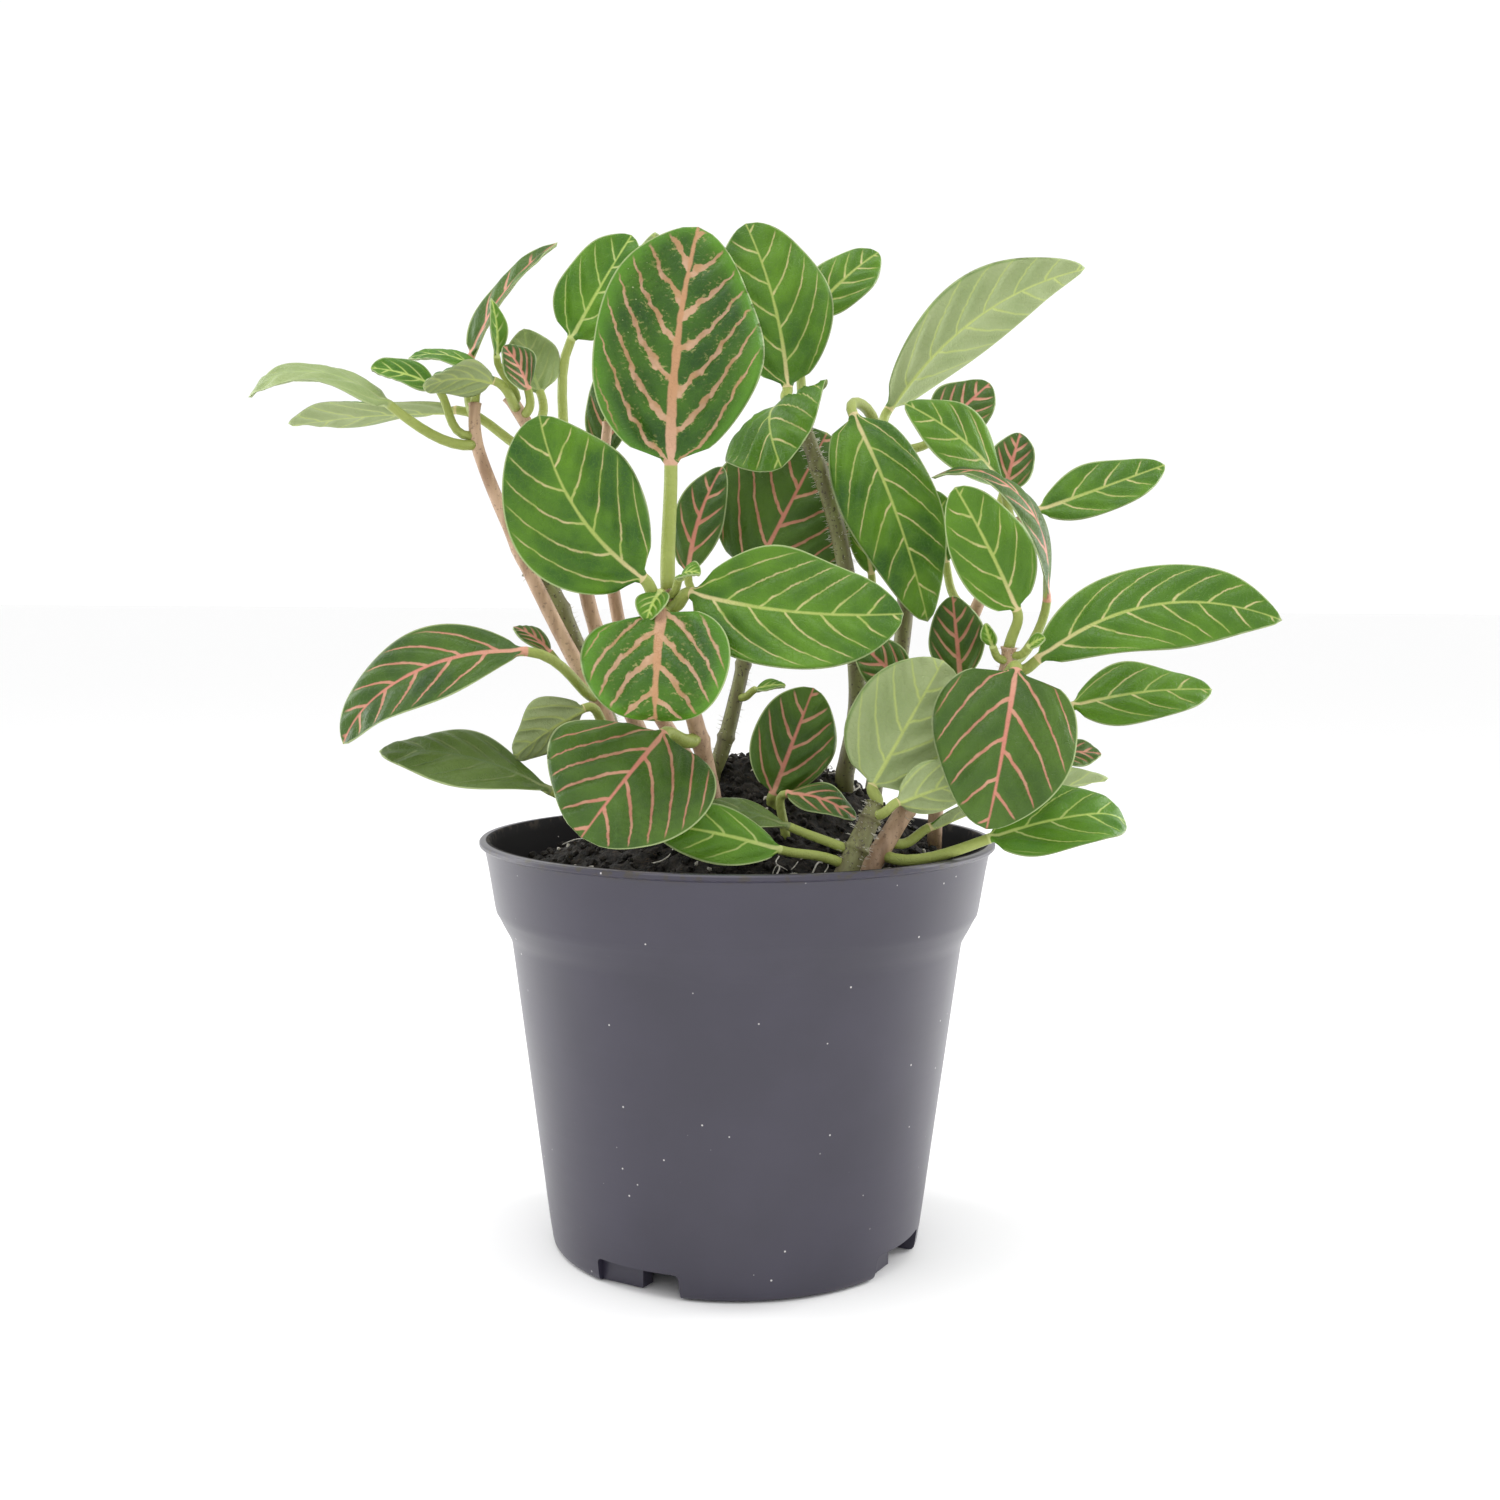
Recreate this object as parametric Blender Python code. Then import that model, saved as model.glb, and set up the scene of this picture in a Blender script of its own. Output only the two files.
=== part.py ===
"""Potted nerve plant: a nursery pot, a mound of peat, eleven rooted stems and their leaves.

All lengths in the tables are millimetres.  The tables put the pot axis on Z and
stand the pot on the plane z = 0.  The front of the plant faces -Y.  Finished
pieces are shifted by AXIS_X so that the origin is under the middle of the whole
plant.  Every piece is one closed body, and neighbours stop 0.3 mm short of each
other.
"""
import math

import bmesh
import bpy
from mathutils import Matrix, Vector

for old in list(bpy.data.objects):
    bpy.data.objects.remove(old, do_unlink=True)

MM = 0.001
GAP = 0.3
AXIS_X = -3.006

# --- pot -------------------------------------------------------------------
POT_HEIGHT = 95.4
RIM_R = 60.0
LIP_THICK = 1.4
WALL = 1.3
BASE_R = 43.3
FOLD_Z, FOLD_R = 72.8, 52.7
BAND_Z, BAND_R = 79.2, 56.4
BAND_TOP_R = 58.8
FLOOR_Z = 6.0
FOOT_INNER_R = 36.0
POT_SEGMENTS = 48
NOTCH_HEIGHT = 5.6
NOTCH_HALF_WIDTH = 10.5
NOTCH_ANGLES = (-120, -30, 60, 150)
DRAIN_R = 3.4

# --- soil ------------------------------------------------------------------
SOIL_EDGE_Z = 87.0
MOUND = (8.0, 14.0, 27.0, 30.0, 26.0)
SOIL_SEGMENTS = 36
SOIL_RINGS = (0.14, 0.3, 0.45, 0.6, 0.74, 0.88)

STEM_SIDES = 8
LEAF_THICK = 0.8
MIDRIB_DROP = 0.5


def mesh_object(name, bm, material):
    """Shift a bmesh to the row frame, scale it to metres and make it an object."""
    bmesh.ops.recalc_face_normals(bm, faces=bm.faces)
    bmesh.ops.translate(bm, vec=(AXIS_X, 0.0, 0.0), verts=bm.verts)
    bmesh.ops.scale(bm, vec=(MM, MM, MM), verts=bm.verts)
    mesh = bpy.data.meshes.new(name)
    bm.to_mesh(mesh)
    bm.free()
    mesh.materials.append(material)
    obj = bpy.data.objects.new(name, mesh)
    bpy.context.collection.objects.link(obj)
    return obj


def material(name, colour, roughness):
    mat = bpy.data.materials.new(name)
    mat.use_nodes = True
    shader = mat.node_tree.nodes["Principled BSDF"]
    shader.inputs["Base Color"].default_value = (*colour, 1.0)
    shader.inputs["Roughness"].default_value = roughness
    return mat


MATERIALS = {
    "pot": material("pot_plastic", (0.090, 0.084, 0.112), 0.42),
    "soil": material("soil_peat", (0.018, 0.014, 0.012), 0.95),
    "tan": material("stem_tan", (0.35, 0.20, 0.13), 0.6),
    "olive": material("stem_olive", (0.16, 0.17, 0.05), 0.6),
    "cream": material("leaf_cream_vein", (0.08, 0.19, 0.03), 0.45),
    "pink": material("leaf_pink_vein", (0.05, 0.13, 0.03), 0.45),
    "young": material("leaf_young", (0.16, 0.30, 0.04), 0.45),
}


def bridge_rings(bm, rings):
    """Skin a list of equal point rings and close both ends."""
    loops = [[bm.verts.new(point) for point in ring] for ring in rings]
    count = len(loops[0])
    for first, second in zip(loops, loops[1:]):
        for i in range(count):
            j = (i + 1) % count
            bm.faces.new((first[i], first[j], second[j], second[i]))
    bm.faces.new(list(reversed(loops[0])))
    bm.faces.new(loops[-1])


def lathe(bm, profile, segments):
    """Turn a closed (r, z) outline, first and last point on the axis, about Z."""
    bottom, top = profile[0], profile[-1]
    loops = []
    for radius, height in profile[1:-1]:
        loops.append([
            bm.verts.new((radius * math.cos(math.tau * i / segments),
                          radius * math.sin(math.tau * i / segments), height))
            for i in range(segments)])
    low, high = bm.verts.new((0, 0, bottom[1])), bm.verts.new((0, 0, top[1]))
    for i in range(segments):
        j = (i + 1) % segments
        bm.faces.new((low, loops[0][j], loops[0][i]))
        bm.faces.new((high, loops[-1][i], loops[-1][j]))
        for first, second in zip(loops, loops[1:]):
            bm.faces.new((first[i], first[j], second[j], second[i]))


def wall_inner_radius(z):
    """Radius of the inside of the pot at height z, between floor and lip."""
    points = ((FLOOR_Z, BASE_R - WALL + 0.6), (FOLD_Z, FOLD_R - WALL),
              (BAND_Z, BAND_R - WALL), (POT_HEIGHT, BAND_TOP_R - WALL))
    for (z0, r0), (z1, r1) in zip(points, points[1:]):
        if z <= z1:
            return r0 + (r1 - r0) * (z - z0) / (z1 - z0)
    return points[-1][1]


def soil_height(x, y):
    """Height of the peat: level at the wall, heaped up behind the middle."""
    cx, cy, rise, wide, deep = MOUND
    bump = math.exp(-((x - cx) ** 2) / (2 * wide ** 2) - ((y - cy) ** 2) / (2 * deep ** 2))
    reach = min(1.0, math.hypot(x, y) / 56.0)
    return SOIL_EDGE_Z + rise * bump * (1 - reach ** 4)


def cutter(name, build):
    bm = bmesh.new()
    build(bm)
    obj = mesh_object(name, bm, MATERIALS["pot"])
    obj.hide_render = True
    obj.display_type = "WIRE"
    return obj


def box(bm, size, centre, angle):
    turn = Matrix.Rotation(math.radians(angle), 4, "Z")
    place = turn @ Matrix.Translation(centre)
    stretch = Matrix.Diagonal((size[0], size[1], size[2], 1.0))
    bmesh.ops.create_cube(bm, size=1.0, matrix=place @ stretch)


def build_pot():
    top = POT_HEIGHT
    outer = [
        (0.0, FLOOR_Z), (FOOT_INNER_R, FLOOR_Z), (FOOT_INNER_R + 0.4, 0.0),
        (BASE_R - 1.0, 0.0), (BASE_R - 0.3, 0.4), (BASE_R + 0.1, 1.4),
        (FOLD_R, FOLD_Z), (BAND_R - 0.5, BAND_Z - 0.8), (BAND_R, BAND_Z),
        (BAND_TOP_R - 0.1, top - LIP_THICK - 0.5), (RIM_R, top - LIP_THICK),
        (RIM_R, top - 0.3), (RIM_R - 0.3, top)]
    inner = [(BAND_TOP_R - WALL, top)]
    inner += [(wall_inner_radius(z), z) for z in (BAND_Z, FOLD_Z, FLOOR_Z + WALL + 1.5)]
    inner += [(wall_inner_radius(FLOOR_Z) - 2.0, FLOOR_Z + WALL), (0.0, FLOOR_Z + WALL)]
    bm = bmesh.new()
    lathe(bm, outer + inner, POT_SEGMENTS)
    pot = mesh_object("pot", bm, MATERIALS["pot"])

    def notches(bm):
        for angle in NOTCH_ANGLES:
            box(bm, (9.0, 2 * NOTCH_HALF_WIDTH, NOTCH_HEIGHT + 2),
                (BASE_R + 1.5, 0.0, NOTCH_HEIGHT / 2 - 1), angle)

    def gaps(bm):
        for angle in NOTCH_ANGLES:
            box(bm, (16.0, NOTCH_HALF_WIDTH, NOTCH_HEIGHT + 2),
                (BASE_R - 2.0, NOTCH_HALF_WIDTH / 2, NOTCH_HEIGHT / 2 - 1.0), angle)

    def drains(bm):
        for angle in NOTCH_ANGLES:
            turn = Matrix.Rotation(math.radians(angle), 4, "Z")
            place = turn @ Matrix.Translation((FOOT_INNER_R - 6.0, 0.0, FLOOR_Z))
            bmesh.ops.create_cone(bm, cap_ends=True, segments=12, radius1=DRAIN_R,
                                  radius2=DRAIN_R, depth=8.0, matrix=place)

    for name, build in (("cut_notches", notches), ("cut_gaps", gaps), ("cut_drains", drains)):
        cut = pot.modifiers.new(name, "BOOLEAN")
        cut.operation = "DIFFERENCE"
        cut.solver = "EXACT"
        cut.object = cutter(name, build)
    return pot


def build_soil():
    floor = FLOOR_Z + WALL + GAP
    side = [(wall_inner_radius(z) - GAP - 0.15, z)
            for z in (FLOOR_Z + WALL + 2.2, FOLD_Z, BAND_Z)]
    edge = wall_inner_radius(SOIL_EDGE_Z) - GAP - 0.15
    bm = bmesh.new()
    lathe(bm, [(0.0, floor), (side[0][0] - 2.4, floor)] + side + [(edge, SOIL_EDGE_Z)]
          + [(edge * share, SOIL_EDGE_Z) for share in reversed(SOIL_RINGS)]
          + [(0.0, SOIL_EDGE_Z)], SOIL_SEGMENTS)
    for vert in bm.verts:
        if vert.co.z > SOIL_EDGE_Z - 0.01:
            vert.co.z = soil_height(vert.co.x, vert.co.y)
    return mesh_object("soil", bm, MATERIALS["soil"])


# --- stems -----------------------------------------------------------------
# name: (material, foot radius, top radius, points from the soil to the tip);
# the height of the first point comes from the soil
STEMS = {
    "stem_crown": ("tan", 2.0, 1.7, ((-4, -20, 0), (-8, -28, 119), (-14, -36, 142),
                                     (-15, -37, 153))),
    "stem_middle": ("olive", 2.0, 1.5, ((-6, 2, 0), (-3, 1, 118), (1, 3, 135), (3, 6, 149))),
    "stem_tall": ("olive", 2.3, 1.6, ((25, 4, 0), (28, 3, 129), (24, 1, 162),
                                      (16, 0, 187), (11, 0, 196))),
    "stem_right": ("tan", 2.4, 1.5, ((28, -31, 0), (34, -29, 101), (42, -26, 113),
                                     (57, -25, 132), (59, -26, 141))),
    "stem_front": ("olive", 2.6, 2.1, ((22, -39, 0), (27, -36, 101), (30, -34, 107))),
    "stem_left": ("tan", 2.3, 1.3, ((-24, -5, 0), (-28, -3, 114), (-33, 0, 128),
                                    (-39, 0, 138), (-50, 0, 160), (-60, 0, 184),
                                    (-61, 0, 196))),
    "stem_cut": ("olive", 2.2, 2.0, ((-25, 9, 0), (-31, 8, 122), (-37, 8, 136),
                                     (-44, 8, 152), (-50, 7, 158))),
    "stem_far_left": ("tan", 2.0, 1.5, ((-18, 18, 0), (-29, 15, 130), (-35, 13, 146),
                                        (-41, 10, 172), (-48, 6, 188), (-54, 5, 198))),
    "stem_behind": ("tan", 2.0, 1.2, ((-10, 26, 0), (-24, 24, 130), (-30, 23, 148),
                                      (-33, 22, 178), (-32, 22, 194))),
    "stem_back_right": ("olive", 2.2, 1.5, ((33, 22, 0), (40, 21, 141), (40, 19, 168),
                                            (34, 14, 187), (32, 13, 193))),
    "stem_side": ("tan", 1.8, 1.2, ((47, 7, 0), (49, 5, 128), (56, 3, 150),
                                    (63, 4, 164), (66, 5, 170))),
}


def curve_point(points, t):
    """Catmull-Rom point at t in 0..1 along a list of points."""
    spans = len(points) - 1
    span = min(int(t * spans), spans - 1)
    f = t * spans - span
    p = [points[max(0, min(spans, span + k))] for k in (-1, 0, 1, 2)]
    return 0.5 * ((2 * p[1]) + (p[2] - p[0]) * f + (2 * p[0] - 5 * p[1] + 4 * p[2] - p[3]) * f ** 2
                  + (3 * p[1] - p[0] - 3 * p[2] + p[3]) * f ** 3)


class Stem:
    def __init__(self, row):
        self.slot, self.foot, self.top, points = row
        x, y, _ = points[0]
        self.points = [Vector((x, y, soil_height(x, y) + 1.2))] + [Vector(p) for p in points[1:]]

    def centre(self, t):
        return curve_point(self.points, t)

    def axis(self, t):
        return (self.centre(min(1, t + 0.01)) - self.centre(max(0, t - 0.01))).normalized()

    def radius(self, t):
        return self.foot + (self.top - self.foot) * t

    def at_height(self, z):
        low, high = 0.0, 1.0
        for _ in range(24):
            mid = (low + high) / 2
            low, high = (mid, high) if self.centre(mid).z < z else (low, mid)
        return low


def build_stem(name, stem):
    rings = []
    steps = 2 * (len(stem.points) - 1)
    for step in range(steps + 1):
        t = step / steps
        centre, axis = stem.centre(t), stem.axis(t)
        side = axis.cross(Vector((0, 1, 0))).normalized()
        up = side.cross(axis)
        ring = []
        for i in range(STEM_SIDES):
            a = math.tau * i / STEM_SIDES
            point = centre + stem.radius(t) * (math.cos(a) * side + math.sin(a) * up)
            if step == 0:
                point.z = soil_height(point.x, point.y) + GAP + 0.2
            ring.append(point)
        rings.append(ring)
    bm = bmesh.new()
    bridge_rings(bm, rings)
    return mesh_object(name, bm, MATERIALS[stem.slot])


# --- leaves ----------------------------------------------------------------
# name: (material, stem, height on the stem or "top", blade base, blade tip, width,
#        direction the upper face looks, arch of the midrib along that direction,
#        sideways bow, lift of the margins, belly, fullness)
# belly below 0.9 puts the widest place nearer the base; fullness below 0.6 is blunter
LEAVES = {
    # the four crossed leaves of the front crown
    "leaf_crown_up": ("pink", "stem_crown", "top", (-14.5, -36, 179), (-9, -31, 229), 36,
                      (0, -1, 0.1), 2, -1.5, 0.10, 0.88, 0.6),
    "leaf_crown_left": ("cream", "stem_crown", 150, (-20, -41, 155), (-41, -46, 188), 29,
                        (-0.2, -1, 0.3), 2, -4, 0.12, 0.95, 0.6),
    "leaf_crown_right": ("cream", "stem_crown", 149, (-10, -42, 152), (34, -46, 148), 27,
                         (0.1, -1, 0.35), 3, 3, 0.08, 0.9, 0.6),
    "leaf_crown_low": ("pink", "stem_crown", 146, (-16, -44, 148), (-17, -58, 123), 30,
                       (0, -0.9, 0.6), 4, 0, 0.05, 0.9, 0.5),
    "leaf_round": ("pink", "stem_crown", 121, (-16, -38, 122), (-32, -53, 102), 36,
                   (0.1, -0.8, 0.6), 3, -0.5, 0.04, 0.8, 0.5),
    # left side, low
    "leaf_left_long": ("pink", "stem_left", 128, (-47, -20, 139), (-88, -30, 119), 20,
                       (-0.1, -0.7, 0.7), 5, 4, 0.05, 0.95, 0.7),
    "leaf_left_low": ("pink", "stem_left", 109, (-42, -19, 108), (-79, -24, 117), 19,
                      (0.1, -0.6, 1), 4, 0, -0.08, 1.1, 0.65),
    "leaf_left_pale": ("cream", "stem_left", 121, (-35, -12, 126), (-50, -20, 116), 16,
                       (-0.3, 0.75, 0.6), 1, 0, 0.1, 1.0, 0.55),
    # left side, high
    "leaf_reach_left": ("cream", "stem_left", 186, (-79, -9, 194), (-111, -14, 196), 18,
                        (0, -0.42, 1), 6, 0, -0.05, 0.75, 0.8),
    "leaf_pale_left": ("cream", "stem_far_left", 186, (-67, 11, 195), (-108, 16, 192), 17,
                       (0, 0.22, 1), 1, 0, 0.05, 1.05, 0.7),
    "leaf_left_bright": ("young", "stem_left", 188, (-70, -2, 199), (-83, -9, 202), 10,
                         (-0.1, -0.8, 0.7), 1, 0, 0.15, 0.9, 0.6),
    "leaf_left_sliver": ("young", "stem_left", "top", (-61, 5, 204), (-77, 4, 206), 10,
                         (0, -0.5, 1), 2, 0, 0.0, 0.9, 0.7),
    "leaf_left_striped": ("cream", "stem_far_left", 195, (-56, -4, 200), (-71, -11, 198), 14,
                          (-0.1, 0.5, 1), 2, 0, -0.15, 0.9, 0.55),
    "leaf_left_blade": ("pink", "stem_left", 193, (-63, 8, 207), (-43, 11, 234), 11,
                        (-0.9, -0.7, 0.5), 3, 0, 0.25, 0.8, 0.8),
    "leaf_left_upright": ("young", "stem_far_left", 196, (-56, 1, 206), (-57, -1, 219), 5,
                          (0.8, -0.8, 0.1), 1, 0, 0.3, 0.9, 0.8),
    "leaf_left_cup": ("young", "stem_far_left", 190, (-47, 9, 199), (-51, 11, 214), 14,
                      (0.3, -1, 0.2), -2, 0, 0.3, 0.9, 0.6),
    "leaf_left_pink": ("pink", "stem_far_left", 193, (-49, 1, 199), (-54, -3, 208), 11,
                       (0.5, -0.8, 0.6), 1, 0, 0.1, 0.9, 0.6),
    # behind the crown
    "leaf_lit": ("young", "stem_far_left", 180, (-40, 13, 212), (-26, 17, 237), 19,
                 (-0.1, -1, 0.1), 1, 0, 0.1, 0.85, 0.6),
    "leaf_back_tip": ("cream", "stem_behind", "top", (-21, 26, 222), (-21, 28, 240), 12,
                      (0, 1, -0.1), 1, 0, 0.05, 0.9, 0.75),
    "leaf_back_dark": ("pink", "stem_behind", 180, (-33, 27, 186), (-30, 28, 210), 13,
                       (-0.3, -1, 0.1), 1, 0, 0.1, 0.9, 0.7),
    "leaf_tall": ("cream", "stem_tall", "top", (11, 4, 200), (1, 8, 238), 26,
                  (0.1, -1, 0.1), 2, 1.5, 0.08, 0.95, 0.58),
    "leaf_tall_back": ("cream", "stem_tall", 194, (17, 16, 219), (33, 20, 234), 14,
                       (0.2, -0.8, 0.6), 2, 0, 0.0, 0.9, 0.6),
    "leaf_tall_front": ("cream", "stem_tall", 193, (10, -6, 195), (9, -28, 179), 30,
                        (-0.6, -0.3, 0.75), 5, 0, -0.1, 0.8, 0.6),
    "leaf_wide_dark": ("pink", "stem_middle", "top", (3, 11, 156), (21, 18, 191), 36,
                       (0.1, -1, 0.2), 2, 0, 0.05, 0.9, 0.55),
    "leaf_wide_left": ("pink", "stem_middle", 145, (-12, 5, 157), (-4, 8, 182), 12,
                       (-0.2, -1, 0.2), 2, -1, 0.0, 0.9, 0.6),
    # right side, high
    "leaf_drooping": ("cream", "stem_back_right", "top", (26, -2, 193), (43, -9, 146), 23,
                      (0.15, -1, 0.25), 5, 0, -0.1, 0.7, 0.6),
    "leaf_big_pale": ("cream", "stem_back_right", 191, (36, 22, 197), (85, 32, 233), 21,
                      (-0.25, 0.85, 0.65), 2, 6, 0.08, 0.8, 0.7),
    "leaf_right_bright": ("cream", "stem_side", "top", (70, 5, 172), (100, 7, 183), 14,
                          (-0.1, -1, 0.5), 2, 1, 0.03, 0.95, 0.65),
    "leaf_right_cream": ("cream", "stem_side", 168, (60, -3, 178), (37, -9, 195), 16,
                         (0.1, -1, 0.6), 3, 0, 0.0, 0.95, 0.65),
    "leaf_right_back": ("pink", "stem_back_right", 185, (47, 16, 190), (60, 18, 203), 15,
                        (-0.1, -1, 0.4), 1, 0, 0.05, 0.9, 0.6),
    "leaf_right_round": ("pink", "stem_side", 166, (63, 13, 177), (67, 15, 191), 11,
                         (0, -1, 0.2), 1, 0, 0.05, 0.9, 0.6),
    "leaf_right_dark": ("cream", "stem_side", 148, (49, 9, 160), (46, 11, 177), 11,
                        (-0.2, -1, 0.2), 1, 0, 0.0, 0.9, 0.6),
    "leaf_right_curled": ("pink", "stem_right", 137, (69, -15, 151), (41, -16, 182), 13,
                          (0.6, -0.45, 0.65), 11, 0, -0.1, 0.9, 0.7),
    "leaf_node_up": ("cream", "stem_right", "top", (60, -29, 149), (46, -31, 175), 18,
                     (0.1, -1, 0.15), 2, 0, 0.08, 0.9, 0.58),
    # right side, low
    "leaf_heart": ("pink", "stem_right", 133, (59, -36, 136), (52, -45, 102), 31,
                   (0, -0.9, 0.35), 3, 0, 0.03, 0.68, 0.6),
    "leaf_right_long": ("cream", "stem_right", 136, (65, -27, 138), (117, -31, 147), 22,
                        (0.05, -0.85, 0.6), 5, -6, -0.05, 1.0, 0.7),
    "leaf_right_mid": ("cream", "stem_right", 128, (76, -10, 127), (108, -10, 131), 18,
                       (0.1, -0.8, 0.8), 2, 0, 0.0, 0.9, 0.65),
    "leaf_right_small": ("pink", "stem_side", 118, (70, 4, 114), (86, 4, 115), 13,
                         (0.1, -0.5, 1), 1, 0, 0.0, 0.9, 0.65),
    "leaf_right_edge": ("cream", "stem_right", 99, (42, -26, 101), (84, -14, 111), 15,
                        (-0.1, 0.55, 1), 2, 0, 0.15, 1.0, 0.75),
    "leaf_over_rim": ("young", "stem_right", 96, (54, -36, 100), (85, -36, 106), 21,
                      (0.2, -0.7, 1), 2, 0, 0.05, 1.0, 0.55),
    "leaf_inner_pink": ("pink", "stem_side", 130, (51, -6, 133), (49, -5, 152), 13,
                        (-0.1, -1, 0.1), 1, 0, 0.0, 0.9, 0.6),
    # low, over the soil
    "leaf_low_dark": ("pink", "soil", 0, (8, -14, 107), (17, -13, 131), 19,
                      (0, -1, 0.25), 1, 0, 0.1, 1.0, 0.55),
    "leaf_low_pink": ("pink", "soil", 0, (11, -23, 108), (26, -27, 103), 10,
                      (0.2, -0.6, 0.8), 2, 0, 0.0, 0.9, 0.6),
    "leaf_front_pale": ("cream", "stem_front", "top", (29, -34, 111), (44, -32, 138), 26,
                        (0.2, 0.9, 0.1), 1, 0, 0.15, 0.9, 0.55),
    "leaf_front_low": ("cream", "stem_front", 105, (34, -38, 108), (53, -38, 114), 13,
                       (-0.2, 0.9, 0.4), 1, 0, 0.1, 0.9, 0.6),
    "leaf_folded": ("young", "stem_front", 94, (9, -41, 98), (-19, -44, 104), 13,
                    (0, -0.9, 0.5), 2, 0, -0.1, 1.0, 0.6),
    "leaf_folded_dark": ("pink", "stem_front", 97, (11, -33, 102), (-14, -33, 106), 11,
                         (0, -0.4, 1), 2, 0, -0.1, 1.0, 0.65),
}
BLADE_STEPS = (0.0, 0.07, 0.2, 0.36, 0.52, 0.68, 0.83, 0.94, 1.0)
PETIOLE_STEPS = (0.0, 0.33, 0.68)


def half_width(t, belly, fullness):
    """Share of the half width at t, 0 at the base and the tip."""
    return math.sin(math.pi * t ** belly) ** fullness if 0 < t < 1 else 0.0


def seat_on_soil(base):
    """Where a petiole leaves the soil: a little behind and below the blade."""
    x, y = base.x * 0.98, base.y + 3.0
    return Vector((x, y, soil_height(x, y) + GAP + 0.9))


def leaf_frames(row, stems):
    """Centre, direction, face and half width of each ring from the stem to the tip."""
    stem_name, height, base, tip, width, face, arch, sway = row[1:9]
    belly, fullness = row[10:12]
    base, tip, face = Vector(base), Vector(tip), Vector(face)
    along = (tip - base).normalized()
    face = (face - along * face.dot(along)).normalized()
    bow = face * arch + along.cross(face) * sway
    thick = 0.75 + width * 0.018

    def midrib(t):
        return base.lerp(tip, t) + bow * (4 * t * (1 - t))

    if stem_name == "soil":
        leave = Vector((0, 0, 1))
        start = seat_on_soil(base)
    elif height == "top":
        leave = stems[stem_name].axis(1.0)
        start = stems[stem_name].centre(1.0) + leave * GAP
    else:
        stem = stems[stem_name]
        t = stem.at_height(height)
        axis = stem.axis(t)
        out = base - stem.centre(t)
        leave = (out - axis * out.dot(axis)).normalized()
        start = stem.centre(t) + leave * (stem.radius(t) + GAP)
    rise = (midrib(0.02) - base).normalized()
    reach = (base - start).length
    hold = start + leave * min(0.4 * reach, 6.0)
    meet = base - rise * 0.35 * reach
    frames = []
    for t in PETIOLE_STEPS:
        s = 1 - t
        point = start * s ** 3 + hold * 3 * s * s * t + meet * 3 * s * t * t + base * t ** 3
        heading = ((hold - start) * s * s + (meet - hold) * 2 * s * t + (base - meet) * t * t)
        frames.append([point, heading.normalized(), None, thick * (1 - 0.15 * t), True])
    for t in BLADE_STEPS:
        heading = (midrib(min(1, t + 0.01)) - midrib(max(0, t - 0.01))).normalized()
        reach = max(width / 2 * half_width(t, belly, fullness), 0.35)
        frames.append([midrib(t), heading, None, thick * 0.85 if t == 0 else reach, t == 0])
    for frame in reversed(frames):
        face = (face - frame[1] * face.dot(frame[1])).normalized()
        frame[2] = face
    return frames


def build_leaf(name, row, stems):
    lift = row[9]
    rings = []
    for point, heading, face, reach, round_bar in leaf_frames(row, stems):
        side = heading.cross(face).normalized()
        ring = []
        for i in range(8):
            a = math.tau * i / 8
            across, over = math.cos(a), math.sin(a)
            if round_bar:
                ring.append(point + side * across * reach + face * over * reach)
                continue
            flat = (1, 0.55, 0, -0.55, -1, -0.55, 0, 0.55)[i]
            height = (0, 0.5, 0.5, 0.5, 0, -0.5, -0.5, -0.5)[i] * LEAF_THICK
            thin = min(1.0, 0.3 + reach / 4)
            if i == 6:
                height -= MIDRIB_DROP * thin
            bend = lift * reach * abs(flat) ** 1.5
            ring.append(point + side * flat * reach + face * (height * thin + bend))
        rings.append(ring)
    bm = bmesh.new()
    bridge_rings(bm, rings)
    return mesh_object(name, bm, MATERIALS[row[0]])


build_pot()
build_soil()
STEM_CURVES = {name: Stem(row) for name, row in STEMS.items()}
for name, stem in STEM_CURVES.items():
    build_stem(name, stem)
for name, row in LEAVES.items():
    build_leaf(name, row, STEM_CURVES)
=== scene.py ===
# %% [markdown]
# # A potted nerve plant
# The plant is a pot, a mound of peat, eleven stems and about fifty leaves.  The CAD
# frame gives the place and size of every piece.  This lesson builds each piece again
# with what the eye looks for: veins, hairs, crumbs of peat and a moulded rim.
# The frame comes in first, before anything is added to it.

import math
import random

import bmesh
import bpy
from mathutils import Matrix, Vector, noise


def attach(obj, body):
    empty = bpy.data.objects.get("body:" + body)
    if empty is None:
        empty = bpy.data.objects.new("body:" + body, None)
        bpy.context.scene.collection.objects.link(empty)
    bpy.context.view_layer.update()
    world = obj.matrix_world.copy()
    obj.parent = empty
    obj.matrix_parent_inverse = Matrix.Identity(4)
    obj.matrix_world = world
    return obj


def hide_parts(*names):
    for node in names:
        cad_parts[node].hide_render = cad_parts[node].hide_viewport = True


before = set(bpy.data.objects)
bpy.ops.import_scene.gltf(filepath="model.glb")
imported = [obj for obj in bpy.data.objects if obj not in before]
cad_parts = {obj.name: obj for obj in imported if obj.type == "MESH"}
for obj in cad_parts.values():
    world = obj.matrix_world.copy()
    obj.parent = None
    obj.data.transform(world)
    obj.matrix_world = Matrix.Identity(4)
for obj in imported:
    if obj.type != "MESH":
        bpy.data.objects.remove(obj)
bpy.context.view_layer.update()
random.seed(7)

# %% [markdown]
# ## Sizes of the pot and the peat
# A thin nursery pot is a few radii and heights, so it could be copied from the CAD
# mesh or worked out from those numbers.  Numbers are used, because the peat, the
# stems and the leaves all need to ask how wide the pot or how high the peat is.
# Lengths are in millimetres from the pot's axis until a mesh is finished.

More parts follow.
